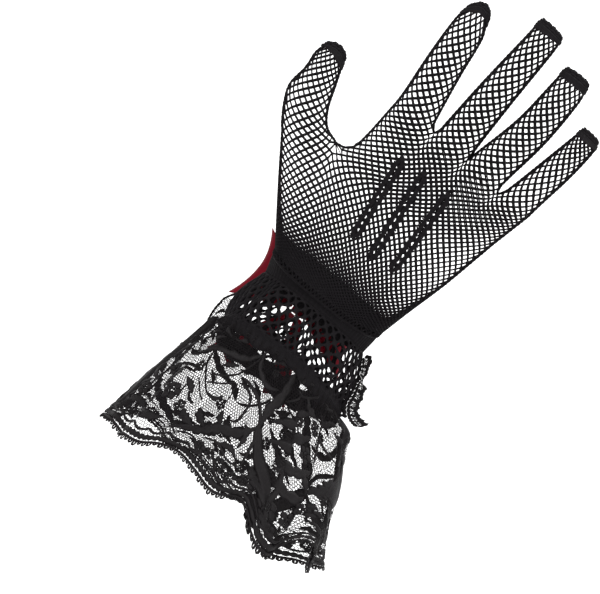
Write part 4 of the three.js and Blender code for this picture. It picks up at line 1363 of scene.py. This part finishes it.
class GLOVE_OT_stage(bpy.types.Operator):
    """Pale seamless backdrop, soft lights and the camera"""
    bl_idname = "glove.stage"
    bl_label = "Stage"

    def execute(self, context):
        scene = context.scene
        material, tree, shader = new_material("backdrop paper")
        coordinate = tree.nodes.new("ShaderNodeTexCoord").outputs["Object"]
        grain = add_node(tree, "TexNoise", {"Scale": 40, "Vector": coordinate}).outputs[0]
        paper = scene.glove_colours.backdrop
        feed(tree, shader, {
            "Base Color": colour_between(tree, paper, [c * 1.02 for c in paper], grain),
            "Roughness": 0.9,
            "Emission Color": (1, 1, 1, 1),
            "Emission Strength": 0.25,
        })
        flat = FLOOR_BEFORE + FLOOR_BEHIND
        curve = BEND * math.pi / 2

        def place(u, w):
            run = BACKDROP_LENGTH * w
            if run < flat:
                y, z = run - FLOOR_BEFORE, FLOOR
            elif run < flat + curve:
                angle = (run - flat) / BEND
                y, z = FLOOR_BEHIND + BEND * math.sin(angle), FLOOR + BEND * (1 - math.cos(angle))
            else:
                y, z = FLOOR_BEHIND + BEND, FLOOR + BEND + run - flat - curve
            return Vector((BACKDROP_WIDTH * (u - 0.5), y, z))

        bm = bmesh.new()
        grid_on(bm, 8, 120, place)
        new_object(bm, "backdrop", material)

        world = bpy.data.worlds.new("studio")
        world.use_nodes = True
        sky = world.node_tree.nodes["Background"]
        sky.inputs["Color"].default_value = (1, 1, 1, 1)
        sky.inputs["Strength"].default_value = 0.9
        scene.world = world
        scene.view_settings.view_transform = "Standard"
        for row in LIGHTS:
            data = bpy.data.lights.new(row["name"], "AREA")
            data.shape = "DISK"
            data.size = row["size"]
            data.energy = row["power"]
            light = bpy.data.objects.new(row["name"], data)
            light.location = row["place"]
            light.rotation_euler = (-Vector(row["place"])).to_track_quat("-Z", "Y").to_euler()
            scene.collection.objects.link(light)

        data = bpy.data.cameras.new("camera")
        data.lens = FILM_WIDTH * CAMERA_DISTANCE / VIEW_WIDTH
        camera = bpy.data.objects.new("camera", data)
        right = Vector((math.cos(CAMERA_ROLL), 0, math.sin(CAMERA_ROLL)))
        up = Vector((-math.sin(CAMERA_ROLL), 0, math.cos(CAMERA_ROLL)))
        back = Vector((0, -1, 0))
        turned = Matrix((right, up, back)).transposed()
        camera.matrix_world = Matrix.Translation(CAMERA_AIM + back * CAMERA_DISTANCE) @ turned.to_4x4()
        scene.collection.objects.link(camera)
        scene.camera = camera
        return {"FINISHED"}


OPERATORS = (
    GLOVE_OT_stage,
    GLOVE_OT_nets,
    GLOVE_OT_side_seams,
    GLOVE_OT_tips,
    GLOVE_OT_back_points,
    GLOVE_OT_wrist_band,
    GLOVE_OT_net_frill,
    GLOVE_OT_gather_band,
    GLOVE_OT_lace_cuff,
    GLOVE_OT_lace_trims,
    GLOVE_OT_bow,
)


class GLOVE_PT_panel(bpy.types.Panel):
    bl_idname = "GLOVE_PT_panel"
    bl_label = "Lace Glove"
    bl_space_type = "VIEW_3D"
    bl_region_type = "UI"
    bl_category = "Glove"

    def draw(self, context):
        for group in (context.scene.glove_sizes, context.scene.glove_colours):
            for name in group.bl_rna.properties.keys():
                if name not in ("rna_type", "name"):
                    self.layout.prop(group, name)
        for operator in OPERATORS:
            self.layout.operator(operator.bl_idname)


CLASSES = (GloveSizes, GloveColours) + OPERATORS + (GLOVE_PT_panel,)


def register():
    for cls in CLASSES:
        bpy.utils.register_class(cls)
    bpy.types.Scene.glove_sizes = bpy.props.PointerProperty(type=GloveSizes)
    bpy.types.Scene.glove_colours = bpy.props.PointerProperty(type=GloveColours)


def unregister():
    del bpy.types.Scene.glove_colours
    del bpy.types.Scene.glove_sizes
    for cls in reversed(CLASSES):
        bpy.utils.unregister_class(cls)


def main():
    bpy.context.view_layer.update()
    register()
    for operator in OPERATORS:
        call = getattr(bpy.ops.glove, operator.bl_idname.split(".")[1])
        call()


if __name__ == "__main__":
    main()
